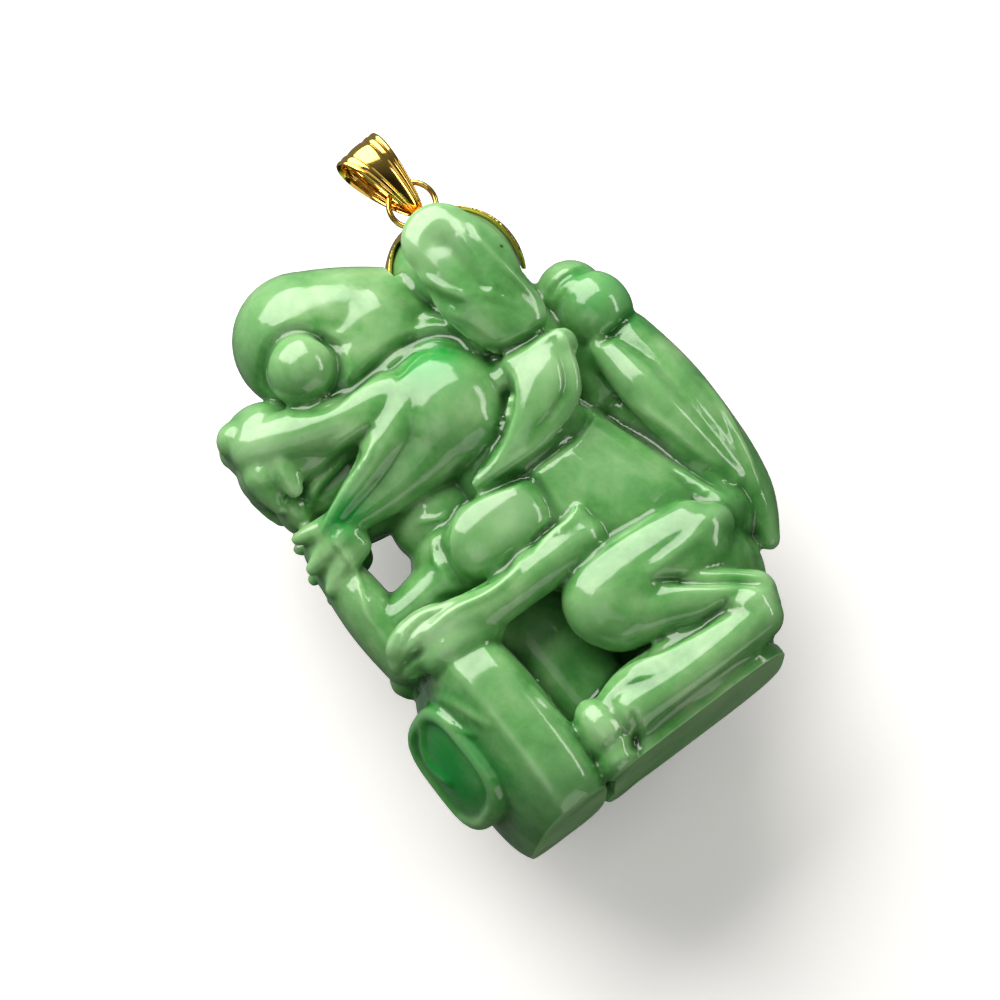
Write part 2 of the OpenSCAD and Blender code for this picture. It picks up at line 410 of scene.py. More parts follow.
@dataclass(frozen=True)
class Jadeite:
    """Jadeite, carved with diamond burrs and polished to a glassy lustre.

    It is slightly translucent; its proud rims are painted paler as a painted glow, and its hollows painted
    deep green as painted shade.
    Interlocked grains of a millimetre or two mottle it, with richer emerald veins and a few dark specks; its
    milky patches are partly milky clouds and partly painted highlight.

    Attributes:
        milky: colour of the palest clouds, of the painted highlight patches and of the painted glow on proud
            rims.
        pale: colour of the light grains.
        body: colour between the grains.
        deep: colour of the dark grains.
        shadow: painted shade colour laid into the hollows of the carving.
        vivid: colour of the emerald veins.
        speck: colour of the mineral specks.
        grain_mm: size of a grain.
        cloud_mm: size of a cloud of grains.
        speck_mm: distance between places for a speck.
        ripple_mm: size of the faint waves that the polishing lap leaves.
        polished: roughness of the polished skin.
        ground: roughness of the underside, which is ground flat and not polished.
        polish_from: height over the base at which the polish starts, in millimetres.
        polish_full: height over the base at which it is full, in millimetres.
        emerald: middle and reach of each emerald patch, in millimetres.
        clouds_and_sheen: middle and reach of each milky patch, partly milky cloud and partly painted
            highlight, in millimetres.
    """

    milky: str = "#b4d9a8"
    pale: str = "#90bd82"
    body: str = "#66a55d"
    deep: str = "#428840"
    shadow: str = "#1f5a1c"
    vivid: str = "#0a9c38"
    speck: str = "#1d2a16"
    grain_mm: float = 2.2
    cloud_mm: float = 9.0
    speck_mm: float = 7.0
    ripple_mm: float = 0.9
    polished: float = 0.12
    ground: float = 0.55
    polish_from: float = 0.02
    polish_full: float = 0.12
    emerald: tuple[tuple[Point, float], ...] = ()
    clouds_and_sheen: tuple[tuple[Point, float], ...] = ()

    def material(self) -> bpy.types.Material:
        """Builds the node tree.

        Returns:
            The material.
        """
        material = bpy.data.materials.new("polished_jadeite")
        material.use_nodes = True
        tree = material.node_tree
        tree.nodes.clear()
        where = add_node(tree, "ShaderNodeTexCoord").outputs["Object"]
        cloud = add_node(
            tree,
            "ShaderNodeTexNoise",
            {
                "in:Scale": 1 / (self.cloud_mm * MM),
                "in:Detail": 5.0,
                "in:Roughness": 0.55,
                "in:Distortion": 0.6,
            },
            Vector=where,
        )
        grain = add_node(
            tree,
            "ShaderNodeTexNoise",
            {"in:Scale": 1 / (self.grain_mm * MM), "in:Detail": 4.0, "in:Roughness": 0.6},
            Vector=where,
        )
        both = add_node(
            tree,
            "ShaderNodeMix",
            {"data_type": "FLOAT", "in:Factor": 0.38},
            at_2=cloud.outputs["Fac"],
            at_3=grain.outputs["Fac"],
        )
        ramp = add_node(tree, "ShaderNodeValToRGB", Fac=both.outputs[0])
        stops = ramp.color_ramp.elements
        stops[0].position, stops[0].color = 0.35, linear(self.deep)
        stops[1].position, stops[1].color = 0.67, linear(self.pale)
        middle = stops.new(0.5)
        middle.color = linear(self.body)
        colour = ramp.outputs["Color"]
        # Emerald patches are the stone's own colour; the milky patches are partly milky clouds and partly
        # painted highlight.
        for hue, most, patches in ((self.vivid, 1.0, self.emerald), (self.milky, 0.45, self.clouds_and_sheen)):
            for place, reach in patches:
                patch = self._patch(tree, where, cloud.outputs["Fac"], place, reach, most)
                mix = add_node(
                    tree, "ShaderNodeMix", {"data_type": "RGBA", "in:7": linear(hue)}, at_0=patch, at_6=colour
                )
                colour = mix.outputs[2]
        # Painted shade: the hollows are darkened towards the shadow colour through the stored hollow mask.
        hollow = add_node(tree, "ShaderNodeAttribute", {"attribute_name": "hollow"})
        shade = add_node(
            tree,
            "ShaderNodeMix",
            {"data_type": "RGBA", "in:7": linear(self.shadow)},
            at_0=hollow.outputs["Fac"],
            at_6=colour,
        )
        # Painted glow: proud rims are paled towards the milky colour, standing in for light shining through
        # thin stone.
        rim = add_node(tree, "ShaderNodeAttribute", {"attribute_name": "rim"})
        pale = add_node(
            tree,
            "ShaderNodeMix",
            {"data_type": "RGBA", "in:7": linear(self.milky)},
            at_0=rim.outputs["Fac"],
            at_6=shade.outputs[2],
        )
        spotted = add_node(
            tree,
            "ShaderNodeMix",
            {"data_type": "RGBA", "in:7": linear(self.speck)},
            at_0=self._specks(tree, where),
            at_6=pale.outputs[2],
        )
        ripple = add_node(
            tree,
            "ShaderNodeTexNoise",
            {"in:Scale": 1 / (self.ripple_mm * MM), "in:Detail": 4.0, "in:Roughness": 0.65},
            Vector=where,
        )
        height = add_node(tree, "ShaderNodeSeparateXYZ", Vector=where).outputs["Z"]
        buffed = add_node(
            tree,
            "ShaderNodeMapRange",
            {
                "in:From Min": self.polish_from * MM,
                "in:From Max": self.polish_full * MM,
                "in:To Min": self.ground,
                "in:To Max": self.polished,
            },
            Value=height,
        )
        bump = add_node(
            tree,
            "ShaderNodeBump",
            {"in:Strength": 0.5, "in:Distance": 0.02 * MM},
            Height=ripple.outputs["Fac"],
        )
        shader = add_node(
            tree,
            "ShaderNodeBsdfPrincipled",
            {
                "in:IOR": 1.66,
                "in:Subsurface Weight": 0.6,
                "in:Subsurface Radius": (0.55, 1.0, 0.45),
                "in:Subsurface Scale": 1.6 * MM,
            },
            Base_Color=spotted.outputs[2],
            Roughness=buffed.outputs["Result"],
            Normal=bump.outputs["Normal"],
        )
        out = add_node(tree, "ShaderNodeOutputMaterial")
        tree.links.new(shader.outputs[0], out.inputs["Surface"])
        return material

    def _specks(self, tree: bpy.types.NodeTree, where: bpy.types.NodeSocket) -> bpy.types.NodeSocket:
        """Scatters a few dark mineral specks.

        Args:
            tree: the node tree.
            where: the place on the stone.

        Returns:
            How much of a speck is there.
        """
        cells = add_node(tree, "ShaderNodeTexVoronoi", {"in:Scale": 1 / (self.speck_mm * MM)}, Vector=where)
        dot = add_node(
            tree,
            "ShaderNodeMapRange",
            {"in:From Min": 0.036, "in:From Max": 0.02, "in:To Min": 0.0, "in:To Max": 0.8},
            Value=cells.outputs["Distance"],
        )
        chosen = add_node(
            tree,
            "ShaderNodeMath",
            {"operation": "GREATER_THAN", "in:1": 0.35},
            at_0=add_node(tree, "ShaderNodeSeparateColor", Color=cells.outputs["Color"]).outputs[0],
        )
        both = add_node(
            tree,
            "ShaderNodeMath",
            {"operation": "MULTIPLY"},
            at_0=dot.outputs["Result"],
            at_1=chosen.outputs[0],
        )
        return both.outputs[0]

    @staticmethod
    def _patch(
        tree: bpy.types.NodeTree,
        where: bpy.types.NodeSocket,
        cloud: bpy.types.NodeSocket,
        place: Point,
        reach: float,
        most: float,
    ) -> bpy.types.NodeSocket:
        """Fades a patch of colour out round a place, with an edge made ragged by the cloud pattern.

        Args:
            tree: the node tree.
            where: the place on the stone.
            cloud: the cloud pattern that makes the edge ragged.
            place: the middle of the patch, in millimetres.
            reach: how far it reaches, in millimetres.
            most: its strength in the middle.

        Returns:
            The strength of the patch.
        """
        middle = tuple(c * MM for c in place)
        away = add_node(tree, "ShaderNodeVectorMath", {"operation": "DISTANCE", "in:1": middle})
        tree.links.new(where, away.inputs[0])
        ragged = add_node(
            tree,
            "ShaderNodeMath",
            {"operation": "MULTIPLY_ADD", "in:1": reach * MM * 1.6, "in:2": -reach * MM * 0.8},
            at_0=cloud,
        )
        far = add_node(
            tree,
            "ShaderNodeMath",
            {"operation": "ADD"},
            at_0=away.outputs["Value"],
            at_1=ragged.outputs[0],
        )
        fade = add_node(
            tree,
            "ShaderNodeMapRange",
            {
                "in:From Min": reach * MM,
                "in:From Max": reach * MM * 0.25,
                "in:To Min": 0.0,
                "in:To Max": most,
            },
            Value=far.outputs[0],
        )
        return fade.outputs["Result"]


@dataclass(frozen=True)
class PolishedGold:
    """Yellow gold sheet and wire, polished on a buff: mirror-bright, with a faint haze of buffing lines.

    Attributes:
        colour: colour of the metal.
        haze_mm: size of a cloud of the haze.
    """

    colour: str = "#f2c964"
    haze_mm: float = 0.6

    def material(self) -> bpy.types.Material:
        """Builds the node tree.

        Returns:
            The material.
        """
        material = bpy.data.materials.new("polished_yellow_gold")
        material.use_nodes = True
        tree = material.node_tree
        tree.nodes.clear()
        where = add_node(tree, "ShaderNodeTexCoord").outputs["Object"]
        haze = add_node(
            tree, "ShaderNodeTexNoise", {"in:Scale": 1 / (self.haze_mm * MM), "in:Detail": 3.0}, Vector=where
        )
        rough = add_node(
            tree,
            "ShaderNodeMapRange",
            {"in:To Min": 0.06, "in:To Max": 0.16},
            Value=haze.outputs["Fac"],
        )
        bump = add_node(
            tree,
            "ShaderNodeBump",
            {"in:Strength": 0.05, "in:Distance": 0.03 * MM},
            Height=haze.outputs["Fac"],
        )
        shader = add_node(
            tree,
            "ShaderNodeBsdfPrincipled",
            {"in:Metallic": 1.0, "in:Base Color": linear(self.colour)},
            Roughness=rough.outputs["Result"],
            Normal=bump.outputs["Normal"],
        )
        out = add_node(tree, "ShaderNodeOutputMaterial")
        tree.links.new(shader.outputs[0], out.inputs["Surface"])
        return material


@dataclass(frozen=True)
class CuredEpoxy:
    """Two-part epoxy, cured clear and a little yellow, with the grain of the filler in it.

    Attributes:
        colour: colour of the resin.
        filler: colour of the grains of filler.
        filler_mm: size of a grain.
        roughness: roughness of its skin.
    """

    colour: str = "#cbbf9c"
    filler: str = "#9d8f68"
    filler_mm: float = 0.3
    roughness: float = 0.35

    def material(self) -> bpy.types.Material:
        """Builds the node tree.

        Returns:
            The material.
        """
        material = bpy.data.materials.new("cured_epoxy")
        material.use_nodes = True
        tree = material.node_tree
        shader = tree.nodes["Principled BSDF"]
        where = add_node(tree, "ShaderNodeTexCoord").outputs["Object"]
        grain = add_node(tree, "ShaderNodeTexNoise", {"in:Scale": 1 / (self.filler_mm * MM)}, Vector=where)
        mix = add_node(
            tree,
            "ShaderNodeMix",
            {"data_type": "RGBA", "in:6": linear(self.colour), "in:7": linear(self.filler)},
            at_0=grain.outputs["Fac"],
        )
        tree.links.new(mix.outputs[2], shader.inputs["Base Color"])
        shader.inputs["Roughness"].default_value = self.roughness
        return material


# --------------------------------------------------------------------------- carving

FLANK_LINES: tuple[Chase, ...] = (
    Chase("snout crease", 0.9, 0.5, 2.0, (
        (-10.6, 40.7), (-9.2, 39.5), (-7.6, 38.9), (-5.5, 39.1), (-2.9, 39.3), (-0.4, 39.5), (1.6, 39.2),
        (3.1, 38.6), (4.1, 37.5), (5.1, 36.0), (5.6, 34.2)
    )),
    Chase("cheek crease", 0.8, 0.5, 3.0, (
        (5.6, 34.6), (5.3, 32.3), (4.8, 30.9), (3.8, 29.5), (2.3, 28.4), (0.6, 27.5), (-1.6, 27.0)
    )),
    Chase("eye socket", 0.75, 0.35, 2.0, (
        (-10.9, 42.3), (-10.3, 44.6), (-8.4, 46.1), (-6.1, 45.8), (-4.6, 44.2), (-4.3, 42.3),
        (-5.1, 40.6), (-6.9, 39.7), (-9.3, 40.1)
    )),
    Chase("eye corner", 0.8, 0.2, 2.0, ((-5.0, 44.6), (-4.0, 42.9), (-3.0, 42.0))),
    Chase("eye fold", 0.5, -0.12, 2.0, ((-5.1, 45.3), (-4.0, 44.1), (-2.9, 42.6))),
    Chase("lip", 0.7, -0.2, 2.0, (
        (-13.5, 35.5), (-11.9, 35.3), (-9.9, 35.8), (-7.8, 35.8), (-6.0, 35.7), (-5.4, 34.9)
    )),
    Chase("ear front", 0.6, -0.2, 3.0, ((4.4, 43.6), (4.9, 42.0), (5.4, 40.6), (6.3, 39.1), (7.4, 37.8))),
    Chase("ear front groove", 0.7, 0.25, 3.0, (
        (3.6, 44.1), (4.0, 42.5), (4.4, 41.0), (5.0, 39.5), (6.0, 37.9)
    )),
    Chase("ear hollow", 1.8, 0.45, 5.5, ((7.4, 45.3), (8.0, 43.4), (8.2, 41.4), (8.2, 39.6), (8.6, 38.0))),
    Chase("ear hollow back", 0.5, -0.12, 5.5, ((9.7, 44.2), (9.5, 42.4), (9.2, 40.7), (9.2, 39.3))),
    Chase("ear fold 1", 0.45, 0.14, 5.0, ((7.9, 39.3), (8.6, 38.3), (9.2, 37.3), (9.6, 36.0))),
    Chase("ear fold 2", 0.45, 0.14, 5.0, ((6.6, 39.1), (7.4, 37.8), (8.3, 36.6), (9.2, 35.4))),
    Chase("ear back", 0.6, -0.22, 4.5, (
        (10.9, 43.8), (10.4, 42.1), (10.4, 40.4), (10.6, 38.9), (10.9, 37.4), (11.2, 36.2), (11.4, 35.0)
    )),
    Chase("ear foot", 0.8, 0.6, 4.0, (
        (5.2, 34.9), (5.6, 34.1), (6.4, 33.5), (7.6, 33.2), (9.0, 33.0), (10.5, 33.0), (12.2, 32.9)
    )),
    Chase("lock rim", 0.6, -0.3, 4.0, (
        (8.0, 32.4), (10.3, 32.3), (11.0, 31.7), (10.5, 29.9), (9.9, 28.4), (9.0, 27.0), (7.7, 26.1),
        (5.9, 25.6), (3.4, 25.5), (0.4, 25.7), (-1.6, 25.8)
    )),
    Chase("lock valley", 0.5, 0.22, 4.0, (
        (10.0, 31.1), (9.4, 29.1), (8.3, 27.6), (6.4, 26.8), (3.9, 26.4)
    )),
    Chase("lock foot", 0.7, 0.45, 3.0, (
        (11.9, 30.1), (10.9, 28.0), (9.8, 26.1), (8.1, 25.0), (6.1, 24.5), (3.0, 24.4), (0.5, 24.5),
        (-1.6, 25.1)
    )),
    Chase("jaw", 0.4, -0.25, 2.0, (
        (-14.4, 31.1), (-13.0, 31.7), (-11.5, 32.2), (-10.0, 32.7), (-7.9, 33.3), (-6.2, 34.3)
    )),
    Chase("mouth", 0.9, 0.8, 1.5, ((-13.4, 33.4), (-11.6, 33.8), (-9.6, 34.1), (-7.8, 34.5))),
    Chase("beard ridge", 0.5, -0.25, 0.8, (
        (-13.9, 30.3), (-13.8, 28.5), (-14.0, 27.0), (-14.6, 25.2), (-15.4, 23.2), (-15.1, 21.9)
    )),
    Chase("shoulder front", 0.6, 0.35, 2.0, (
        (-4.2, 25.8), (-5.8, 25.0), (-7.0, 23.9), (-7.8, 22.4), (-7.9, 20.8), (-7.4, 19.5), (-6.2, 19.0)
    )),
    Chase("shoulder back", 0.7, 0.4, 2.5, (
        (-4.1, 25.9), (-2.4, 25.4), (-0.4, 24.9), (1.3, 24.5), (2.0, 23.3), (1.9, 21.3), (1.4, 19.8)
    )),
    Chase("chest tuft 1", 0.4, -0.25, 1.5, ((-7.1, 25.4), (-7.8, 24.3), (-8.4, 23.1), (-8.3, 22.3))),
    Chase("chest tuft 2", 0.4, -0.25, 1.5, ((-7.6, 27.1), (-6.6, 26.6), (-5.9, 26.1), (-4.9, 26.1))),
    Chase("arm top", 0.6, 0.35, 3.0, (
        (-10.5, 20.9), (-9.0, 20.1), (-7.5, 19.4), (-6.0, 19.0), (-4.4, 19.0), (-2.9, 19.7)
    )),
    Chase("paw ridge", 0.45, -0.22, 2.5, (
        (-16.3, 19.1), (-14.8, 20.0), (-12.7, 20.1), (-11.0, 19.7), (-9.5, 19.0)
    )),
    Chase("paw groove", 0.4, 0.25, 2.5, (
        (-15.9, 18.4), (-14.3, 19.1), (-12.6, 19.4), (-10.9, 19.2), (-9.4, 18.9)
    )),
    Chase("arm ridge", 0.5, -0.3, 3.0, (
        (-13.3, 18.3), (-11.6, 18.6), (-9.6, 18.5), (-7.6, 18.0), (-5.9, 17.9), (-4.0, 18.2),
        (-2.9, 19.1)
    )),
    Chase("elbow ridge", 0.45, -0.25, 3.0, ((-2.0, 18.4), (0.0, 18.8), (2.0, 18.9), (3.4, 19.6))),
    Chase("elbow groove", 0.5, 0.3, 3.0, ((-2.2, 19.2), (-0.2, 19.6), (1.6, 19.6))),
    Chase("paw foot", 0.5, 0.3, 2.0, ((-17.1, 17.3), (-15.6, 17.6), (-13.8, 17.5))),
    Chase("block front 1", 0.5, -0.25, 3.0, (
        (-15.5, 14.8), (-14.8, 13.4), (-14.3, 11.9), (-13.9, 10.4), (-13.5, 8.9)
    )),
    Chase("block front 2", 0.4, -0.2, 3.0, ((-15.8, 12.4), (-15.4, 11.0), (-14.7, 9.4))),
    Chase("block back", 0.5, -0.2, 3.0, ((-8.8, 10.1), (-8.7, 7.8), (-8.3, 6.0), (-8.2, 4.4))),
    Chase("knee fold", 0.8, 0.6, 3.0, (
        (3.9, 10.5), (5.2, 10.1), (6.5, 9.2), (7.7, 8.2), (9.6, 6.8), (11.1, 5.4), (11.8, 4.7)
    )),
    Chase("haunch", 0.9, -0.25, 3.0, ((4.0, 11.4), (6.2, 11.4), (8.5, 11.5), (10.3, 11.9))),
    Chase("shin crease", 0.7, 0.5, 3.0, (
        (-2.8, 7.3), (-0.5, 6.9), (1.5, 6.1), (4.0, 5.7), (6.5, 5.5), (8.3, 5.8)
    )),
    Chase("foot ridge", 0.6, -0.12, 3.0, (
        (-5.5, 4.7), (-4.7, 5.3), (-3.1, 5.6), (-1.9, 5.3), (-0.8, 4.7), (0.4, 4.4), (1.9, 4.5),
        (3.9, 4.4), (6.5, 4.6), (8.2, 5.1)
    )),
    Chase("base crease", 0.4, 0.3, 3.0, ((-3.0, 1.3), (0.5, 1.2), (4.5, 1.2), (8.5, 1.4))),
    Chase("toe groove", 0.6, 0.3, 3.0, ((-3.6, 3.4), (-4.0, 2.2), (-4.6, 1.2), (-5.7, 0.5))),
    Chase("toe cross", 0.5, 0.22, 3.0, ((-7.6, 2.1), (-6.1, 2.1), (-4.3, 2.3))),
    Chase("tail groove", 0.7, 0.5, 1.0, (
        (10.8, 25.2), (11.6, 23.0), (12.2, 20.8), (12.6, 18.7), (13.2, 16.7), (13.7, 15.2), (14.4, 13.7),
        (15.2, 12.3)
    )),
    Chase("tail edge", 0.6, -0.25, 1.0, (
        (12.7, 24.5), (13.4, 21.9), (14.0, 19.7), (14.6, 17.3), (15.3, 15.3)
    )),
    Chase("tail ridge", 0.6, -0.3, 0.3, (
        (18.9, 23.0), (18.6, 19.4), (18.0, 16.3), (17.5, 14.3), (17.0, 12.2)
    )),
    Chase("flank ridge", 0.7, -0.2, 3.0, (
        (10.2, 24.1), (11.2, 20.5), (11.9, 18.0), (12.5, 15.9), (13.4, 13.4), (14.1, 10.8)
    )),
    Chase("knob crease", 0.7, 0.35, 1.0, ((13.2, 30.1), (15.1, 30.0), (16.6, 30.2), (17.8, 30.6))),
    Chase("knob lobe crease", 0.6, 0.3, 0.5, ((12.9, 36.0), (14.7, 36.3), (16.3, 36.1), (17.5, 35.8))),
)


@dataclass(frozen=True)
class Medallion:
    """The disc on the front of the block, with a swirl in its sunk face. Sizes are in millimetres.

    Attributes:
        place: its middle.
        turn: degrees that it is turned to the left.
        half: half its width.
        deep: its thickness.
        skin: how far from the front plane the face's skin may be.
        reach: half the width of the skin that is worked.
        face: half the width of the sunk face.
        wall: width of the slope from the rim down to the face.
        sunk: depth of the face below the rim.
        crown: how far the middle of the face swells up again.
        swirl: height of the swirl.
        swirl_half: half its width.
        swirl_wind: radians that it winds for each millimetre outwards.
        swirl_start: radians that it starts at.
        swirl_eye: radius from which it has its full height.
    """

    place: Point = (-16.3, 0.0, 9.2)
    turn: float = 18.0
    half: float = 5.45
    deep: float = 3.0
    skin: float = 0.9
    reach: float = 5.0
    face: float = 4.6
    wall: float = 0.6
    sunk: float = 0.45
    crown: float = 0.6
    swirl: float = 0.35
    swirl_half: float = 1.5
    swirl_wind: float = 0.55
    swirl_start: float = 0.6
    swirl_eye: float = 1.2


@dataclass
class JadeCarving:
    """The beast, its treasure block, its tail and its base, carved from one stone. Sizes are in millimetres.

    Attributes:
        voxel: grid of the fused skin.
        polish: smoothing passes before the burr.
        most_faces: triangles that the finished skin may have.
        design_size: the box of the design along X, Y and Z.
        design_middle: the middle of the design's foot.
        dome: middle of the dome that the cap sits on.
        dome_r: radius of the dome.
        dish_r: radius of the ball that hollows the dome's top.
        dish_up: how far the middle of that ball is above the dome's.
        cap_slot: room for the cap's sheet outside the dome.
        cap_skirt: how far that room goes on below the petals.
        gore_width: width of the stone left standing between two petals.
        gore_length: length of the bars that leave it.
        gore_top: how far up it stands over the dome's middle.
        gore_deep: how far down it reaches from there.
        medallion: the disc on the block.
        soften: passes that make the softened skin which the hollows are measured from.
        pull: how far each pass pulls a point towards its neighbours.
        hollow_depth: depth below the softened skin at which the painted shade is darkest; also the span over
            which the painted glow on rims rises.
        painted_shade_most: strength of the darkest painted shade in the hollows.
        rim_from: height over the softened skin at which the painted glow on a rim starts.
        painted_glow_most: strength of the palest painted glow on the rims.
    """

    voxel: float = 0.25
    polish: int = 5
    most_faces: int = 190_000
    design_size: Point = (38.634, 18.243, 51.9)
    design_middle: Point = (0.084, 0.0, 0.0)
    dome: Point = (8.3, 0.0, 42.7)
    dome_r: float = 5.52
    dish_r: float = 4.97
    dish_up: float = 9.22
    cap_slot: float = 0.78
    cap_skirt: float = 0.35
    gore_width: float = 3.2
    gore_length: float = 16.0
    gore_top: float = 2.3
    gore_deep: float = 10.0
    medallion: Medallion = Medallion()
    soften: int = 60
    pull: float = 0.6
    hollow_depth: float = 0.5
    painted_shade_most: float = 0.9
    rim_from: float = 0.12
    painted_glow_most: float = 0.5

    def build(self) -> bpy.types.Object:
        """Models the stone.

        Returns:
            The finished carving, in metres.
        """
        clay = Clay()
        self._head(clay)
        self._ears(clay)
        self._body(clay)
        self._arms(clay)
        self._legs(clay)
        self._tail(clay)
        self._block(clay)
        stone = clay.fuse("jade_stone", self.voxel, self.polish)
        self._grind(stone)
        burr = Burr(stone)
        self._chase(burr)
        burr.refresh()
        apply_modifier(stone, "SMOOTH", factor=0.5, iterations=2)
        self._cut_cap_slot(stone)
        triangles = sum(len(face.vertices) - 2 for face in stone.data.polygons)
        apply_modifier(stone, "DECIMATE", ratio=self.most_faces / triangles)
        # Stores the masks for painted shade in hollows and painted glow on rims.
        self._store_painted_shade_and_glow(stone)
        stone.data.transform(self._place())
        make_active(stone)
        bpy.ops.object.shade_smooth_by_angle(angle=math.radians(55))
        return stone

    def _place(self) -> Matrix:
        """Finds how the design lies in the frame: on the base, in the middle of the stone's own box.

        Returns:
            The transform from the design's millimetres to the frame's metres.
        """
        low, high = (Vector(corner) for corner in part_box("jade_carving"))
        foot = Vector(((low.x + high.x) / 2, (low.y + high.y) / 2, low.z))
        scale = [(b - a) / size for a, b, size in zip(low, high, self.design_size)]
        centred = Matrix.Translation(-Vector(self.design_middle))
        return Matrix.Translation(foot) @ Matrix.Diagonal((*scale, 1)) @ centred

    def _cut_cap_slot(self, stone: bpy.types.Object) -> None:
        """Cuts the room round the dome that the gold cap and its petals slip into, and the dish on top."""
        low, high = (Vector(corner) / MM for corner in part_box("bead_cap"))
        middle = Vector(((low.x + high.x) / 2, (low.y + high.y) / 2, self.dome[2]))
        tools = []
        for radius, up in (
            (self.dome_r + self.cap_slot, 0.0),
            (self.dome_r, 0.0),
            (self.dish_r, self.dish_up),
        ):
            deselect_all()
            bpy.ops.mesh.primitive_uv_sphere_add(segments=128, ring_count=96, radius=radius)
            tools.append(bpy.context.object)
            tools[-1].data.transform(Matrix.Translation(middle + Vector((0, 0, up))))
        for turn in (45, 135):
            deselect_all()
            bpy.ops.mesh.primitive_cube_add(size=1)
            tools.append(bpy.context.object)
            place = Matrix.Translation((middle.x, middle.y, middle.z + self.gore_top - self.gore_deep / 2))
            spin = Matrix.Rotation(math.radians(turn), 4, "Z")
            size = Matrix.Diagonal((self.gore_length, self.gore_width, self.gore_deep, 1))
            tools[-1].data.transform(place @ spin @ size)
        room, dome, dish, *gores = tools
        apply_modifier(dome, "BOOLEAN", operation="DIFFERENCE", object=dish, solver="EXACT")
        make_active(room)
        bpy.ops.object.mode_set(mode="EDIT")
        bpy.ops.mesh.select_all(action="SELECT")
        bpy.ops.mesh.bisect(
            plane_co=(0, 0, low.z - self.cap_skirt), plane_no=(0, 0, 1), clear_inner=True, use_fill=True
        )
        bpy.ops.object.mode_set(mode="OBJECT")
        for solid in (dome, *gores):
            apply_modifier(room, "BOOLEAN", operation="DIFFERENCE", object=solid, solver="EXACT")
        apply_modifier(stone, "BOOLEAN", operation="DIFFERENCE", object=room, solver="EXACT")
        deselect_all()
        for tool in tools:
            bpy.data.objects.remove(tool)

    def _head(self, clay: Clay) -> None:
        """Skull, eyes, snout, cheeks and jaws."""
        clay.limb([(-5.4, 0, 46.0, 5.9), (-1, 0, 44.6, 5.3), (3, 0, 42.2, 4.2)], 1.05)
        clay.pillow((-2.5, 0, 42.0), (6.5, 5.7, 5.0), 3.0)
        clay.limb([(1, 0, 39, 4.6), (5, 0, 37, 5.4), (7, 0, 33, 5.4)], 1.1)
        clay.ball(self.dome, (self.dome_r, self.dome_r, self.dome_r))
        clay.limb([(8.3, 0, 41, 4.8), (8, 0, 34, 4.9)], 1.0)
        clay.ball((-7.4, 4.7, 42.9), (3.1, 3.0, 3.1), both=True)
        clay.ball((-13.2, 0, 41.0), (3.6, 4.6, 3.2))
        clay.ball((-13.9, 0, 38.4), (3.2, 4.4, 3.2))
        clay.ball((-15.0, 1.9, 42.0), (1.8, 1.8, 1.7), both=True)
        clay.ball((-9, 0, 39.0), (5, 4.6, 3))
        clay.limb(
            [(-14.0, 2.6, 40.2, 2.5), (-11.0, 4.0, 38.9, 2.4), (-7.5, 4.9, 37.3, 2.2), (-4, 4.7, 36.6, 2.6),
             (-2.2, 4.4, 35.8, 2.6)],
            0.85, both=True,
        )
        clay.limb([(-13.4, 2.6, 37.9, 2.2), (-10.5, 3.6, 37.4, 2.0), (-6.5, 4.3, 37.0, 1.6)], 0.8, both=True)
        clay.limb(
            [(-13.8, 2.4, 30.8, 0.9), (-11.5, 3.0, 30.9, 1.7), (-8, 3.3, 31.0, 2.4), (-5, 3.5, 31.4, 3.3),
             (-2, 3.6, 32.2, 4.6), (0.1, 3.5, 33.1, 5.6)],
            0.8, both=True,
        )
        clay.limb(
            [(-14.2, 3.0, 31.0, 0.6), (-11.5, 4.3, 31.8, 0.9), (-8.5, 5.0, 32.6, 1.3), (-6.2, 5.2, 33.5, 1.8),
             (-3.8, 5.0, 34.2, 2.6), (-1.5, 4.6, 34.8, 3.2)],
            0.9, both=True,
        )
        clay.limb([(-12.8, 0, 30.7, 1.6), (-8, 0, 30.5, 2.2), (-3.5, 0, 30.6, 3.4), (1, 0, 31, 4.2)], 1.8)
        clay.limb([(-12.3, 0, 34.4, 1.6), (-9, 0, 35.0, 2.0), (-5, 0, 35.5, 3)], 1.9)
        clay.limb([(-12.9, 3.5, 39.2, 1.5), (-13.4, 3.8, 37.4, 1.5), (-13.9, 3.6, 35.4, 0.8)], 0.8, both=True)
        clay.limb([(-15.0, 2.6, 38.0, 1.9), (-15.6, 2.5, 36.4, 1.3), (-15.6, 2.2, 35.2, 0.7)], 0.9, both=True)
        clay.ball((-14.6, 0, 34.6), (1.5, 2.6, 2.4))

    def _ears(self, clay: Clay) -> None:
        """Ears, and the locks of mane below them."""
        clay.limb(
            [(7.9, 7.6, 44.2, 3.3), (8.6, 7.7, 41.4, 4.1), (7.8, 7.3, 38.2, 3.9), (8.5, 6.9, 35.7, 3.3)],
            0.42, both=True,
        )
        clay.ball((8.2, 5.4, 37.0), (3.8, 2.5, 4.2), both=True)
        clay.limb(
            [(8.6, 6.5, 31.0, 2.7), (7.9, 6.8, 29.6, 3.1), (6.0, 6.9, 28.2, 2.7), (3.2, 6.6, 27.0, 1.8),
             (0.6, 6.2, 26.5, 1.1), (-1.8, 5.9, 26.2, 0.6)],
            0.6, both=True,
        )
        clay.ball((10.4, 6.5, 31.3), (1.7, 1.4, 1.6), both=True)
        clay.ball((7.6, 5.4, 31.6), (3.6, 2.4, 2.6), both=True)

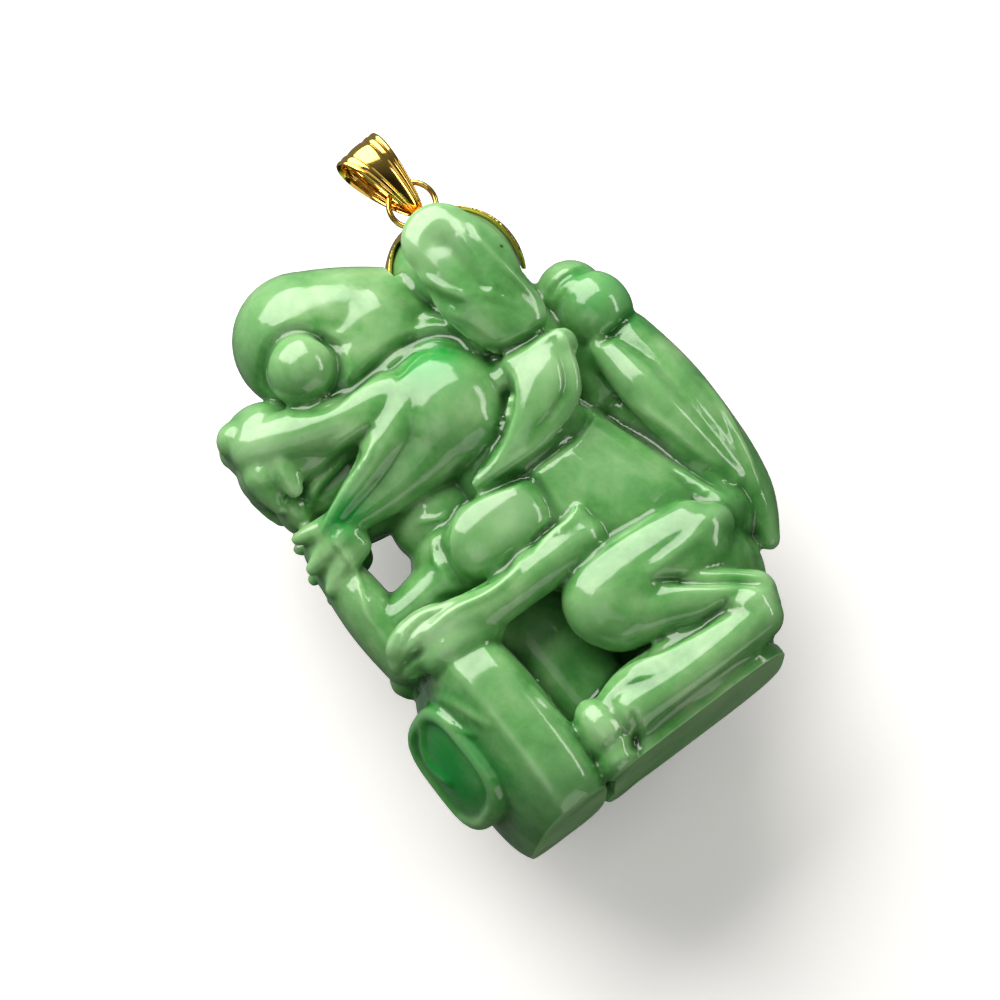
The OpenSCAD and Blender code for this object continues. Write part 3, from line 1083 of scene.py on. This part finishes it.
    def _body(self, clay: Clay) -> None:
        """Neck, back, chest, beard and the web behind the lap."""
        clay.limb(
            [(2.5, 0, 33, 6.4), (2.4, 0, 27, 7.2), (4.5, 0, 20.5, 7.8), (7.3, 0, 14, 7.0),
             (8.6, 0, 9.6, 5.6)],
            0.88,
        )
        clay.ball((-4.9, 0, 27), (4.7, 4.0, 4.2))
        clay.ball((-5.4, 0, 23.5), (4.8, 4.8, 3.6))
        clay.limb([(-14.4, 0, 21.9, 2.0), (-10.5, 0, 21.5, 2.6), (-7, 0, 22, 3.4)], 1.5)
        clay.limb(
            [(-14.9, 0, 28.2, 1.9), (-14.8, 0, 25.0, 2.4), (-15.0, 0, 21.5, 2.2), (-14.8, 0, 18.8, 2.1)],
            1.4,
        )
        clay.limb([(-12.6, 2.4, 31.0, 1.5), (-14.4, 2.4, 31.6, 1.0), (-16.0, 1.9, 32.2, 0.6)], 1.0, both=True)
        clay.limb([(-12.8, 2.6, 29.8, 1.6), (-14.8, 2.5, 29.8, 1.1), (-16.6, 2.0, 29.4, 0.6)], 1.0, both=True)
        clay.limb([(-12.6, 2.4, 28.8, 1.4), (-14.6, 2.4, 28.0, 1.2), (-16.4, 1.9, 27.0, 0.6)], 1.0, both=True)
        clay.ball((-14.6, 0, 30.0), (1.9, 2.8, 2.4))
        clay.limb([(-4.6, 0, 17, 3.6), (-4.6, 0, 12, 4.4), (-4.6, 0, 6, 3.6)], 0.62)

    def _arms(self, clay: Clay) -> None:
        """Shoulders, forearms and the paws on the block."""
        clay.pillow((-2.7, 4.6, 22.3), (4.8, 2.7, 3.4), 2.6, both=True)
        clay.limb(
            [(2.2, 5.6, 17.3, 2.0), (-1.0, 6.0, 17.3, 2.1), (-4.5, 6.1, 17.2, 1.9), (-8.5, 6.1, 17.4, 2.1),
             (-12, 5.6, 18.2, 2.2), (-15, 4.4, 18.2, 1.8)],
            1.0, both=True,
        )
        clay.ball((-13.0, 5.2, 19.0), (3.5, 2.2, 1.9), both=True)
        clay.ball((-10.6, 5.6, 16.6), (4.2, 2.3, 2.4), both=True)
        clay.limb([(0.8, 6.3, 18.0, 1.4), (2.9, 6.5, 18.4, 1.0), (3.3, 6.4, 19.3, 0.55)], 1.0, both=True)

    def _legs(self, clay: Clay) -> None:
        """Thighs, shins, feet and the ground between them."""
        clay.limb([(1.1, 5.4, 11.9, 4.2), (4.4, 5.5, 12.2, 4.2), (9, 5.2, 11.8, 3.6)], 0.74, both=True)
        clay.ball((1.6, 5.3, 10.4), (4.0, 3.0, 3.2), both=True)
        clay.ball((9.8, 5.0, 11.9), (3.6, 2.8, 2.4), both=True)
        clay.limb(
            [(1.4, 5.4, 9.8, 2.6), (4.5, 5.7, 8.7, 2.5), (8, 6.0, 6.9, 2.3), (10.6, 5.9, 5.2, 1.9)],
            1.0, both=True,
        )
        clay.limb(
            [(-5.0, 5.7, 4.4, 1.6), (-2.5, 5.9, 4.8, 2.3), (1, 6.0, 4.4, 2.3), (6, 6.0, 4.0, 2.1)],
            0.95, both=True,
        )
        clay.limb(
            [(-3.2, 6.4, 3.3, 2.2), (0.5, 6.6, 2.9, 2.05), (5, 6.7, 2.9, 2.05), (9.6, 6.5, 3.3, 2.0)],
            1.0, both=True,
        )
        clay.ball((9.6, 6.0, 4.3), (2.5, 2.5, 2.3), both=True)
        clay.ball((-6.2, 5.7, 3.6), (2.0, 2.5, 3.0), both=True)
        clay.ball((-6.6, 5.2, 1.0), (1.9, 2.4, 1.6), both=True)
        clay.pillow((1.2, 0, 0.4), (8.8, 6.9, 1.6), 4.0)
        clay.limb([(-5, 0, 4, 3.0), (8.6, 0, 5, 3.6)], 1.5)
        clay.ball((8.9, 0, 10), (5.0, 6.8, 5.4))

    def _tail(self, clay: Clay) -> None:
        """Tail up the back, with its knob behind the ears."""
        clay.limb(
            [(15.4, 0, 8.8, 0.9), (16.4, 0, 11.6, 1.9), (16.5, 0, 15.5, 2.8), (16.1, 0, 20.5, 3.5),
             (16.4, 0, 25.5, 3.2), (16.0, 0, 29.5, 2.8)],
            1.3,
        )
        clay.ball((15.6, 2.1, 32.9), (3.1, 2.8, 3.4), both=True)
        clay.ball((15.0, 0, 35.4), (3.0, 3.8, 3.1))
        clay.limb([(12.6, 0, 33.5, 2.6), (12.0, 0, 27, 2.2)], 1.0)
        clay.limb([(12.0, 0, 25.5, 1.2), (12.6, 0, 21, 2.2), (12.8, 0, 17, 2.7), (13, 0, 13, 3.2)], 1.5)
        clay.limb(
            [(14.0, 2.6, 29.6, 1.4), (14.1, 3.4, 26.8, 1.9), (14.4, 3.6, 23, 2.0), (15.0, 3.2, 18.5, 1.8),
             (15.8, 2.4, 14.5, 1.2)],
            1.0, both=True,
        )

    def _block(self, clay: Clay) -> None:
        """Treasure block, turned a little to the left, and the medallion on its front."""
        clay.pillow((-12.0, 0, 8.0), (4.3, 8.3, 9.6), 3.6, lean=0.19)
        deselect_all()
        bpy.ops.mesh.primitive_cylinder_add(vertices=96, radius=1, depth=self.medallion.deep)
        disc = bpy.context.object
        for vertex in disc.data.vertices:
            x, y = abs(vertex.co.x), abs(vertex.co.y)
            stretch = self.medallion.half / (x**3 + y**3) ** (1 / 3)
            vertex.co.x, vertex.co.y = vertex.co.x * stretch, vertex.co.y * stretch
        apply_modifier(disc, "BEVEL", width=0.8, segments=5, limit_method="ANGLE")
        tilt = Matrix.Rotation(math.radians(-90), 4, "Y")
        spin = Matrix.Rotation(math.radians(self.medallion.turn), 4, "Z") @ tilt
        disc.data.transform(Matrix.Translation(self.medallion.place) @ spin)
        clay.parts.append(disc)

    def _grind(self, stone: bpy.types.Object) -> None:
        """Grinds the underside flat on the base plane."""
        make_active(stone)
        bpy.ops.object.mode_set(mode="EDIT")
        bpy.ops.mesh.select_all(action="SELECT")
        bpy.ops.mesh.bisect(plane_co=(0, 0, 0), plane_no=(0, 0, 1), clear_inner=True, use_fill=True)
        bpy.ops.object.mode_set(mode="OBJECT")

    def _chase(self, burr: Burr) -> None:
        """Cuts the lines of the carving."""
        for chase in FLANK_LINES:
            for side in Side:
                burr.line(chase, side)
            burr.refresh()
        self._medallion(burr)

    def _medallion(self, burr: Burr) -> None:
        """Sinks the medallion's face inside its rim, and leaves a swirl standing in it."""
        disc = self.medallion
        turned = math.radians(disc.turn)
        out = Vector((-math.cos(turned), -math.sin(turned), 0))
        side = Vector((out.y, -out.x, 0))
        middle = Vector(disc.place) + out * (disc.deep / 2)
        away = burr.points - np.array(middle)
        a, b, depth = away @ np.array(side), away[:, 2], away @ np.array(out)
        radius = (np.abs(a) ** 3 + np.abs(b) ** 3) ** (1 / 3)
        worked = (np.abs(depth) < disc.skin) & (radius < disc.reach)
        sink = np.clip((disc.face - radius) / disc.wall, 0, 1)
        sink = sink * sink * (3 - 2 * sink)
        wound = np.arctan2(b, a) - radius * disc.swirl_wind + disc.swirl_start
        arm = np.abs((wound + math.pi) % (2 * math.pi) - math.pi) * np.maximum(radius, 0.5)
        swirl = np.clip(1 - arm / disc.swirl_half, 0, 1) * np.clip(radius / disc.swirl_eye, 0, 1)
        swirl = swirl * swirl * (3 - 2 * swirl)
        crown = np.clip(1 - (radius / disc.face) ** 2, 0, 1) * disc.crown
        move = (-disc.sunk + crown + disc.swirl * swirl) * sink * worked
        burr.points += np.outer(move, np.array(out))

    def _store_painted_shade_and_glow(self, stone: bpy.types.Object) -> None:
        """Stores how far each point of the skin is sunk or proud, as masks for painted shade in the hollows
        and painted glow on the rims.
        """
        mesh = stone.data
        count = len(mesh.vertices)
        points = np.zeros(count * 3)
        mesh.vertices.foreach_get("co", points)
        points = points.reshape(-1, 3)
        normals = np.zeros(count * 3, np.float32)
        mesh.vertex_normals.foreach_get("vector", normals)
        normals = normals.reshape(-1, 3)
        edges = np.zeros(len(mesh.edges) * 2, np.int64)
        mesh.edges.foreach_get("vertices", edges)
        a, b = edges.reshape(-1, 2).T
        degree = np.bincount(a, minlength=count) + np.bincount(b, minlength=count)
        soft = points.copy()
        for _ in range(self.soften):
            total = np.zeros_like(soft)
            for k in range(3):
                total[:, k] = np.bincount(a, soft[b, k], count) + np.bincount(b, soft[a, k], count)
            soft = (1 - self.pull) * soft + self.pull * total / np.maximum(degree, 1)[:, None]
        proud = ((points - soft) * normals).sum(1)
        # Masks: painted shade in the hollows, painted glow on proud rims.
        for name, value in (
            ("hollow", np.clip(-proud / self.hollow_depth, 0, 1) * self.painted_shade_most),
            ("rim", np.clip((proud - self.rim_from) / self.hollow_depth, 0, 1) * self.painted_glow_most),
        ):
            layer = mesh.attributes.new(name, "FLOAT", "POINT")
            layer.data.foreach_set("value", value.astype(np.float32))


# --------------------------------------------------------------------------- gold fittings


@dataclass
class GoldFittings:
    """Bead cap, eye on its post, jump ring and fluted bail. Sizes are in millimetres.

    Attributes:
        bail_height: from the bail's foot to its top, along its own length.
        bail_width: across its top.
        bail_tip: across its foot.
        bail_depth: between the outsides of its two leaves.
        sheet: thickness of the gold sheet.
        reeds: places of the reeds across the bail, as shares of its half width.
        reed_width: half width of each reed, as such a share.
        reed_height: how far a reed stands over the valleys beside it.
        bail_turn: degrees about its own length.
        bail_lean: degrees that it leans back.
        gap: from the top of the eye to the bail's foot.
        flare: how the bail widens from its foot to its top; 1 is evenly, less is sooner.
        reed_least: height of the reeds at the foot, as a share of their height at the top.
        rim_drop: how far the bail's rims lie below its middle.
        edge: rounding of the sheet's edges.
        joint_at: degrees round the ring to its soldered joint.
        joint_half: half width of the bead of solder, in radians.
        joint_seam: half width of the seam in it, in radians.
        joint_proud: how far the bead stands out, as a share of the wire's radius.
    """

    bail_height: float = 7.6
    bail_width: float = 4.4
    bail_tip: float = 1.15
    bail_depth: float = 4.3
    sheet: float = 0.36
    reeds: tuple[float, ...] = (-0.88, -0.6, 0.0, 0.6, 0.88)
    reed_width: tuple[float, ...] = (0.12, 0.16, 0.44, 0.16, 0.12)
    reed_height: float = 0.17
    bail_turn: float = 10.0
    bail_lean: float = 8.0
    gap: float = 0.15
    flare: float = 0.8
    reed_least: float = 0.35
    rim_drop: float = 0.1
    edge: float = 0.07
    joint_at: float = 28.0
    joint_half: float = 0.05
    joint_seam: float = 0.015
    joint_proud: float = 0.06

    def build(self, gold: bpy.types.Material) -> list[bpy.types.Object]:
        """Makes the four pieces, hides the frame's fitting that each replaces, and hangs each on its body.

        Args:
            gold: their finish.

        Returns:
            The pieces.
        """
        pieces = (
            (self.softened("bead_cap", "petal_cap", 0.085, 6), "bead_cap", "carving"),
            (self.softened("eye_peg", "eye_on_post", 0.045, 6), "eye_peg", "carving"),
            (self.ring(), "jump_ring", "ring"),
            (self.bail(), "bail", "bail"),
        )
        for piece, node, body in pieces:
            piece.data.materials.clear()
            piece.data.materials.append(gold)
            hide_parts(node)
            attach(piece, body)
            LOG.info("%s: %d faces", piece.name, len(piece.data.polygons))
        return [piece for piece, _, _ in pieces]

    @staticmethod
    def softened(node: str, name: str, voxel: float, polish: int) -> bpy.types.Object:
        """Copies a fitting from the frame and rounds its edges as buffing does.

        Args:
            node: the fitting's node.
            name: the name of the piece.
            voxel: grid of its new skin.
            polish: smoothing passes.

        Returns:
            The buffed piece.
        """
        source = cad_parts[node]
        piece = bpy.data.objects.new(name, source.data.copy())
        bpy.context.collection.objects.link(piece)
        piece.data.transform(Matrix.Scale(1 / MM, 4))
        make_active(piece)
        bpy.ops.object.mode_set(mode="EDIT")
        bpy.ops.mesh.select_all(action="SELECT")
        bpy.ops.mesh.remove_doubles(threshold=1e-4)
        bpy.ops.object.mode_set(mode="OBJECT")
        apply_modifier(piece, "REMESH", mode="VOXEL", voxel_size=voxel)
        apply_modifier(piece, "SMOOTH", factor=0.5, iterations=polish)
        piece.data.transform(Matrix.Scale(MM, 4))
        make_active(piece)
        bpy.ops.object.shade_smooth()
        return piece

    def ring(self) -> bpy.types.Object:
        """Bends the jump ring from round wire, with its soldered joint at the back.

        Returns:
            The ring.
        """
        low, high = (Vector(corner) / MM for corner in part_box("jump_ring"))
        wire = (high.y - low.y) / 2
        radius = (high.x - low.x) / 2 - wire
        deselect_all()
        bpy.ops.mesh.primitive_torus_add(
            major_radius=radius, minor_radius=wire, major_segments=120, minor_segments=28
        )
        piece = bpy.context.object
        piece.name = piece.data.name = "wire_ring"
        for vertex in piece.data.vertices:
            angle = math.atan2(vertex.co.y, vertex.co.x)
            away = angle - math.radians(self.joint_at)
            bead = math.exp(-((away / self.joint_half) ** 2))
            bead -= 1.6 * math.exp(-((away / self.joint_seam) ** 2))
            core = Vector((math.cos(angle), math.sin(angle), 0)) * radius
            vertex.co = core + (vertex.co - core) * (1 + self.joint_proud * bead)
        turn = Matrix.Rotation(math.radians(90), 4, "X")
        piece.data.transform(Matrix.Scale(MM, 4) @ Matrix.Translation((low + high) / 2) @ turn)
        make_active(piece)
        bpy.ops.object.shade_smooth()
        return piece

    def _line(self, angle: float) -> Vector:
        """Finds the middle line of the bail's sheet.

        Args:
            angle: the angle round the bail, from its foot.

        Returns:
            How far across and how far up the line is.
        """
        across = (self.bail_depth - self.sheet) / 2 * math.sin(angle) * (0.78 - 0.3 * math.cos(angle))
        return Vector((across, self.bail_height / 2 - (self.bail_height - self.sheet) / 2 * math.cos(angle)))

    def _reed(self, share: float) -> float:
        """Finds how proud the reeds stand.

        Args:
            share: the place across the bail, as a share of its half width.

        Returns:
            The share of a reed's full height.
        """
        proud = 0.0
        for place, width in zip(self.reeds, self.reed_width):
            proud = max(proud, 1 - ((share - place) / width) ** 2)
        return math.sqrt(max(proud, 0.0))

    def bail(self) -> bpy.types.Object:
        """Rolls the bail from a strip with reeds along it, and closes it at its foot.

        Returns:
            The bail.
        """
        around, across = 144, 60
        deselect_all()
        bpy.ops.mesh.primitive_grid_add(x_subdivisions=around, y_subdivisions=across, size=2)
        piece = bpy.context.object
        piece.name = piece.data.name = "reeded_bail"
        for vertex in piece.data.vertices:
            angle, share = (vertex.co.x + 1) * math.pi, vertex.co.y
            middle = self._line(angle)
            step = self._line(angle + 0.02) - self._line(angle - 0.02)
            out = Vector((step.y, -step.x)).normalized()
            open_share = ((1 - math.cos(angle)) / 2) ** self.flare
            width = self.bail_tip + (self.bail_width - self.bail_tip) * open_share
            tall = self.reed_least + (1 - self.reed_least) * open_share
            proud = self.reed_height * self._reed(share) * tall
            proud -= self.rim_drop * share * share * open_share
            spot = middle + out * (self.sheet / 2 + proud)
            vertex.co = (width / 2 * share, spot.x, spot.y)
        make_active(piece)
        bpy.ops.object.mode_set(mode="EDIT")
        bpy.ops.mesh.select_all(action="SELECT")
        bpy.ops.mesh.remove_doubles(threshold=1e-3)
        bpy.ops.object.mode_set(mode="OBJECT")
        centre = Vector((0, 0, self.bail_height / 2))
        if sum((face.center - centre).dot(face.normal) for face in piece.data.polygons) < 0:
            piece.data.flip_normals()
        apply_modifier(piece, "SOLIDIFY", thickness=self.sheet, offset=-1.0)
        apply_modifier(
            piece, "BEVEL", width=self.edge, segments=3, limit_method="ANGLE", angle_limit=math.radians(60)
        )
        low, high = (Vector(corner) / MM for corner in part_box("jump_ring"))
        eye_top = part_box("eye_peg")[1][2] / MM
        foot = Vector(((low.x + high.x) / 2, (low.y + high.y) / 2, eye_top + self.gap))
        lean = Matrix.Rotation(math.radians(-self.bail_lean), 4, "Y")
        spin = Matrix.Rotation(math.radians(self.bail_turn), 4, "Z") @ lean
        piece.data.transform(Matrix.Scale(MM, 4) @ Matrix.Translation(foot) @ spin)
        make_active(piece)
        bpy.ops.object.shade_smooth_by_angle(angle=math.radians(50))
        return piece


# --------------------------------------------------------------------------- studio


@dataclass
class Studio:
    """Pale sweep, soft lights and a long-lens camera turned round the object's own frame.

    Attributes:
        azimuth: the camera's angle round the object, in degrees; 0 looks along +Y.
        elevation: its angle above the base plane.
        roll: how far the object leans to the left in the picture.
        distance: from the camera to the middle of the object, in millimetres.
        width: what the picture takes in at that distance, in millimetres.
        aim_height: height of the point it looks at, as a share of the object's.
        aim_side: how far that point is from the object's middle along X, in millimetres.
        film: width of the camera's sensor, in millimetres.
        lamp: colour of the softboxes.
        behind: from the object's back to the backdrop, in millimetres.
    """

    azimuth: float = -8.0
    elevation: float = -10.5
    roll: float = 38.0
    distance: float = 380.0
    width: float = 83.33
    aim_height: float = 0.439
    aim_side: float = -0.5
    film: float = 36.0
    lamp: Point = (1.0, 0.965, 0.915)
    behind: float = 5.0

    def build(self) -> None:
        """Makes the camera, the lights, the floor and the backdrop."""
        low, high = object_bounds()
        low, high = Vector(low), Vector(high)
        self.aim = (low + high) / 2
        self.aim.x += self.aim_side * MM
        self.aim.z = low.z + self.aim_height * (high.z - low.z)
        a, e, r = (math.radians(v) for v in (self.azimuth, self.elevation, self.roll))
        self.toward = Vector((math.sin(a) * math.cos(e), -math.cos(a) * math.cos(e), math.sin(e)))
        across = Vector((math.cos(a), math.sin(a), 0))
        up = self.toward.cross(across)
        self.right = across * math.cos(r) - up * math.sin(r)
        self.up = across * math.sin(r) + up * math.cos(r)
        self._camera()
        self._world()
        self._softbox("key", (-0.43, 0.82, 0.40), 330, (430, 350), 5.2)
        self._softbox("side", (0.78, 0.40, 0.48), 330, (60, 240), 5.0)
        self._softbox("fill", (-0.3, -0.2, 0.9), 360, (240, 240), 0.7)
        self._softbox("bounce", (0.5, -0.75, 0.45), 360, (320, 260), 1.2)
        self._sweep(low, high)

    def _camera(self) -> None:
        """Points the camera at the object, with its roll."""
        lens = bpy.data.cameras.new("camera")
        lens.sensor_width = self.film
        lens.lens = self.film * self.distance / self.width
        lens.clip_start, lens.clip_end = 0.01, 20
        camera = bpy.data.objects.new("camera", lens)
        bpy.context.collection.objects.link(camera)
        turn = Matrix((self.right, self.up, self.toward)).transposed()
        camera.matrix_world = Matrix.Translation(self.aim + self.toward * self.distance * MM) @ turn.to_4x4()
        bpy.context.scene.camera = camera

    def _world(self) -> None:
        """White to the camera, and a dimmer pale grey to the object."""
        world = bpy.data.worlds.new("studio")
        bpy.context.scene.world = world
        world.use_nodes = True
        tree = world.node_tree
        tree.nodes.clear()
        path = add_node(tree, "ShaderNodeLightPath")
        where = add_node(tree, "ShaderNodeTexCoord").outputs["Generated"]
        height = add_node(tree, "ShaderNodeSeparateXYZ", Vector=where).outputs["Z"]
        dome = add_node(
            tree,
            "ShaderNodeMapRange",
            {"in:From Min": -0.2, "in:From Max": 0.6, "in:To Min": 0.02, "in:To Max": 0.24},
            Value=height,
        )
        dim = add_node(
            tree,
            "ShaderNodeBackground",
            {"in:Color": (0.93, 0.95, 0.97, 1)},
            Strength=dome.outputs["Result"],
        )
        bright = add_node(tree, "ShaderNodeBackground", {"in:Color": (1, 1, 1, 1), "in:Strength": 1.0})
        mix = add_node(
            tree,
            "ShaderNodeMixShader",
            at_0=path.outputs["Is Camera Ray"],
            at_1=dim.outputs[0],
            at_2=bright.outputs[0],
        )
        out = add_node(tree, "ShaderNodeOutputWorld")
        tree.links.new(mix.outputs[0], out.inputs["Surface"])
        bpy.context.scene.view_settings.view_transform = "Standard"

    def _softbox(self, name: str, way: Point, reach: float, size: tuple[float, float], power: float) -> None:
        """Hangs a rectangular softbox that faces the object.

        Args:
            name: the light's name.
            way: its direction from the object, to the picture's right, up and towards the camera.
            reach: its distance in millimetres.
            size: its width and height in millimetres.
            power: its brightness, in watts for each square metre and steradian.
        """
        light = bpy.data.lights.new(name, "AREA")
        light.shape = "RECTANGLE"
        light.color = self.lamp
        light.size, light.size_y = size[0] * MM, size[1] * MM
        light.energy = power * math.pi * size[0] * size[1] * MM * MM
        lamp = bpy.data.objects.new(name, light)
        bpy.context.collection.objects.link(lamp)
        out = (self.right * way[0] + self.up * way[1] + self.toward * way[2]).normalized()
        facing = out.to_track_quat("Z", "Y").to_matrix().to_4x4()
        lamp.matrix_world = Matrix.Translation(self.aim + out * reach * MM) @ facing
        lamp.visible_camera = False

    def _sweep(self, low: Vector, high: Vector) -> None:
        """Lays a floor under the object and a backdrop behind it, each seen from its front only.

        Args:
            low: the low corner of the object's box.
            high: its high corner.
        """
        wide = 3.0
        for name, place, turn in (
            ("floor", Vector((self.aim.x, self.aim.y, low.z - 0.02 * MM)), 0.0),
            ("backdrop", Vector((self.aim.x, high.y + self.behind * MM, self.aim.z)), 90.0),
        ):
            deselect_all()
            bpy.ops.mesh.primitive_plane_add(size=wide)
            sheet = bpy.context.object
            sheet.name = name
            sheet.data.transform(Matrix.Translation(place) @ Matrix.Rotation(math.radians(turn), 4, "X"))
            sheet.data.materials.append(self._paper(name))
            sheet.visible_shadow = False
            sheet.visible_diffuse = False
            sheet.visible_glossy = False
            sheet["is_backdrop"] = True

    @staticmethod
    def _paper(name: str) -> bpy.types.Material:
        """Makes matt white paper that can't be seen from its back.

        Args:
            name: what it covers.

        Returns:
            The material.
        """
        material = bpy.data.materials.new(f"{name}_paper")
        material.use_nodes = True
        tree = material.node_tree
        tree.nodes.clear()
        face = add_node(tree, "ShaderNodeNewGeometry")
        white = add_node(tree, "ShaderNodeBsdfDiffuse", {"in:Color": (1.12, 1.12, 1.12, 1)})
        lift = add_node(tree, "ShaderNodeEmission", {"in:Strength": 0.13})
        both = add_node(tree, "ShaderNodeAddShader", at_0=white.outputs[0], at_1=lift.outputs[0])
        clear = add_node(tree, "ShaderNodeBsdfTransparent")
        mix = add_node(
            tree,
            "ShaderNodeMixShader",
            at_0=face.outputs["Backfacing"],
            at_1=both.outputs[0],
            at_2=clear.outputs[0],
        )
        out = add_node(tree, "ShaderNodeOutputMaterial")
        tree.links.new(mix.outputs[0], out.inputs["Surface"])
        return material


# --------------------------------------------------------------------------- main


def main() -> None:
    """Builds the pieces in order."""
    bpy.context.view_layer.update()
    Studio().build()
    jade = Jadeite(
        emerald=(
            ((-17.5, -2, 9.5), 7.5),
            ((-12.5, -5, 31.5), 4.0),
            ((17.0, -2, 33.0), 4.0),
            ((1.5, -8, 37.0), 4.0),
        ),
        # Milky patches on the near flank: partly milky clouds, partly painted highlight.
        clouds_and_sheen=(
            ((7.5, -9, 45.0), 4.0),
            ((9.0, -9, 30.0), 3.0),
            ((-12.0, -8, 19.0), 4.5),
            ((-14.0, -5, 40.0), 3.5),
            ((-2.0, -8, 22.0), 3.0),
            ((-6.0, -9, 3.0), 3.0),
        ),
    ).material()
    stone = JadeCarving().build()
    stone.data.materials.clear()
    stone.data.materials.append(jade)
    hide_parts("jade_carving")
    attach(stone, "carving")
    LOG.info("jade_stone: %d faces", len(stone.data.polygons))
    GoldFittings().build(PolishedGold().material())
    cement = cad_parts["peg_cement"]
    cement.data.materials.clear()
    cement.data.materials.append(CuredEpoxy().material())


if __name__ == "__main__":
    main()
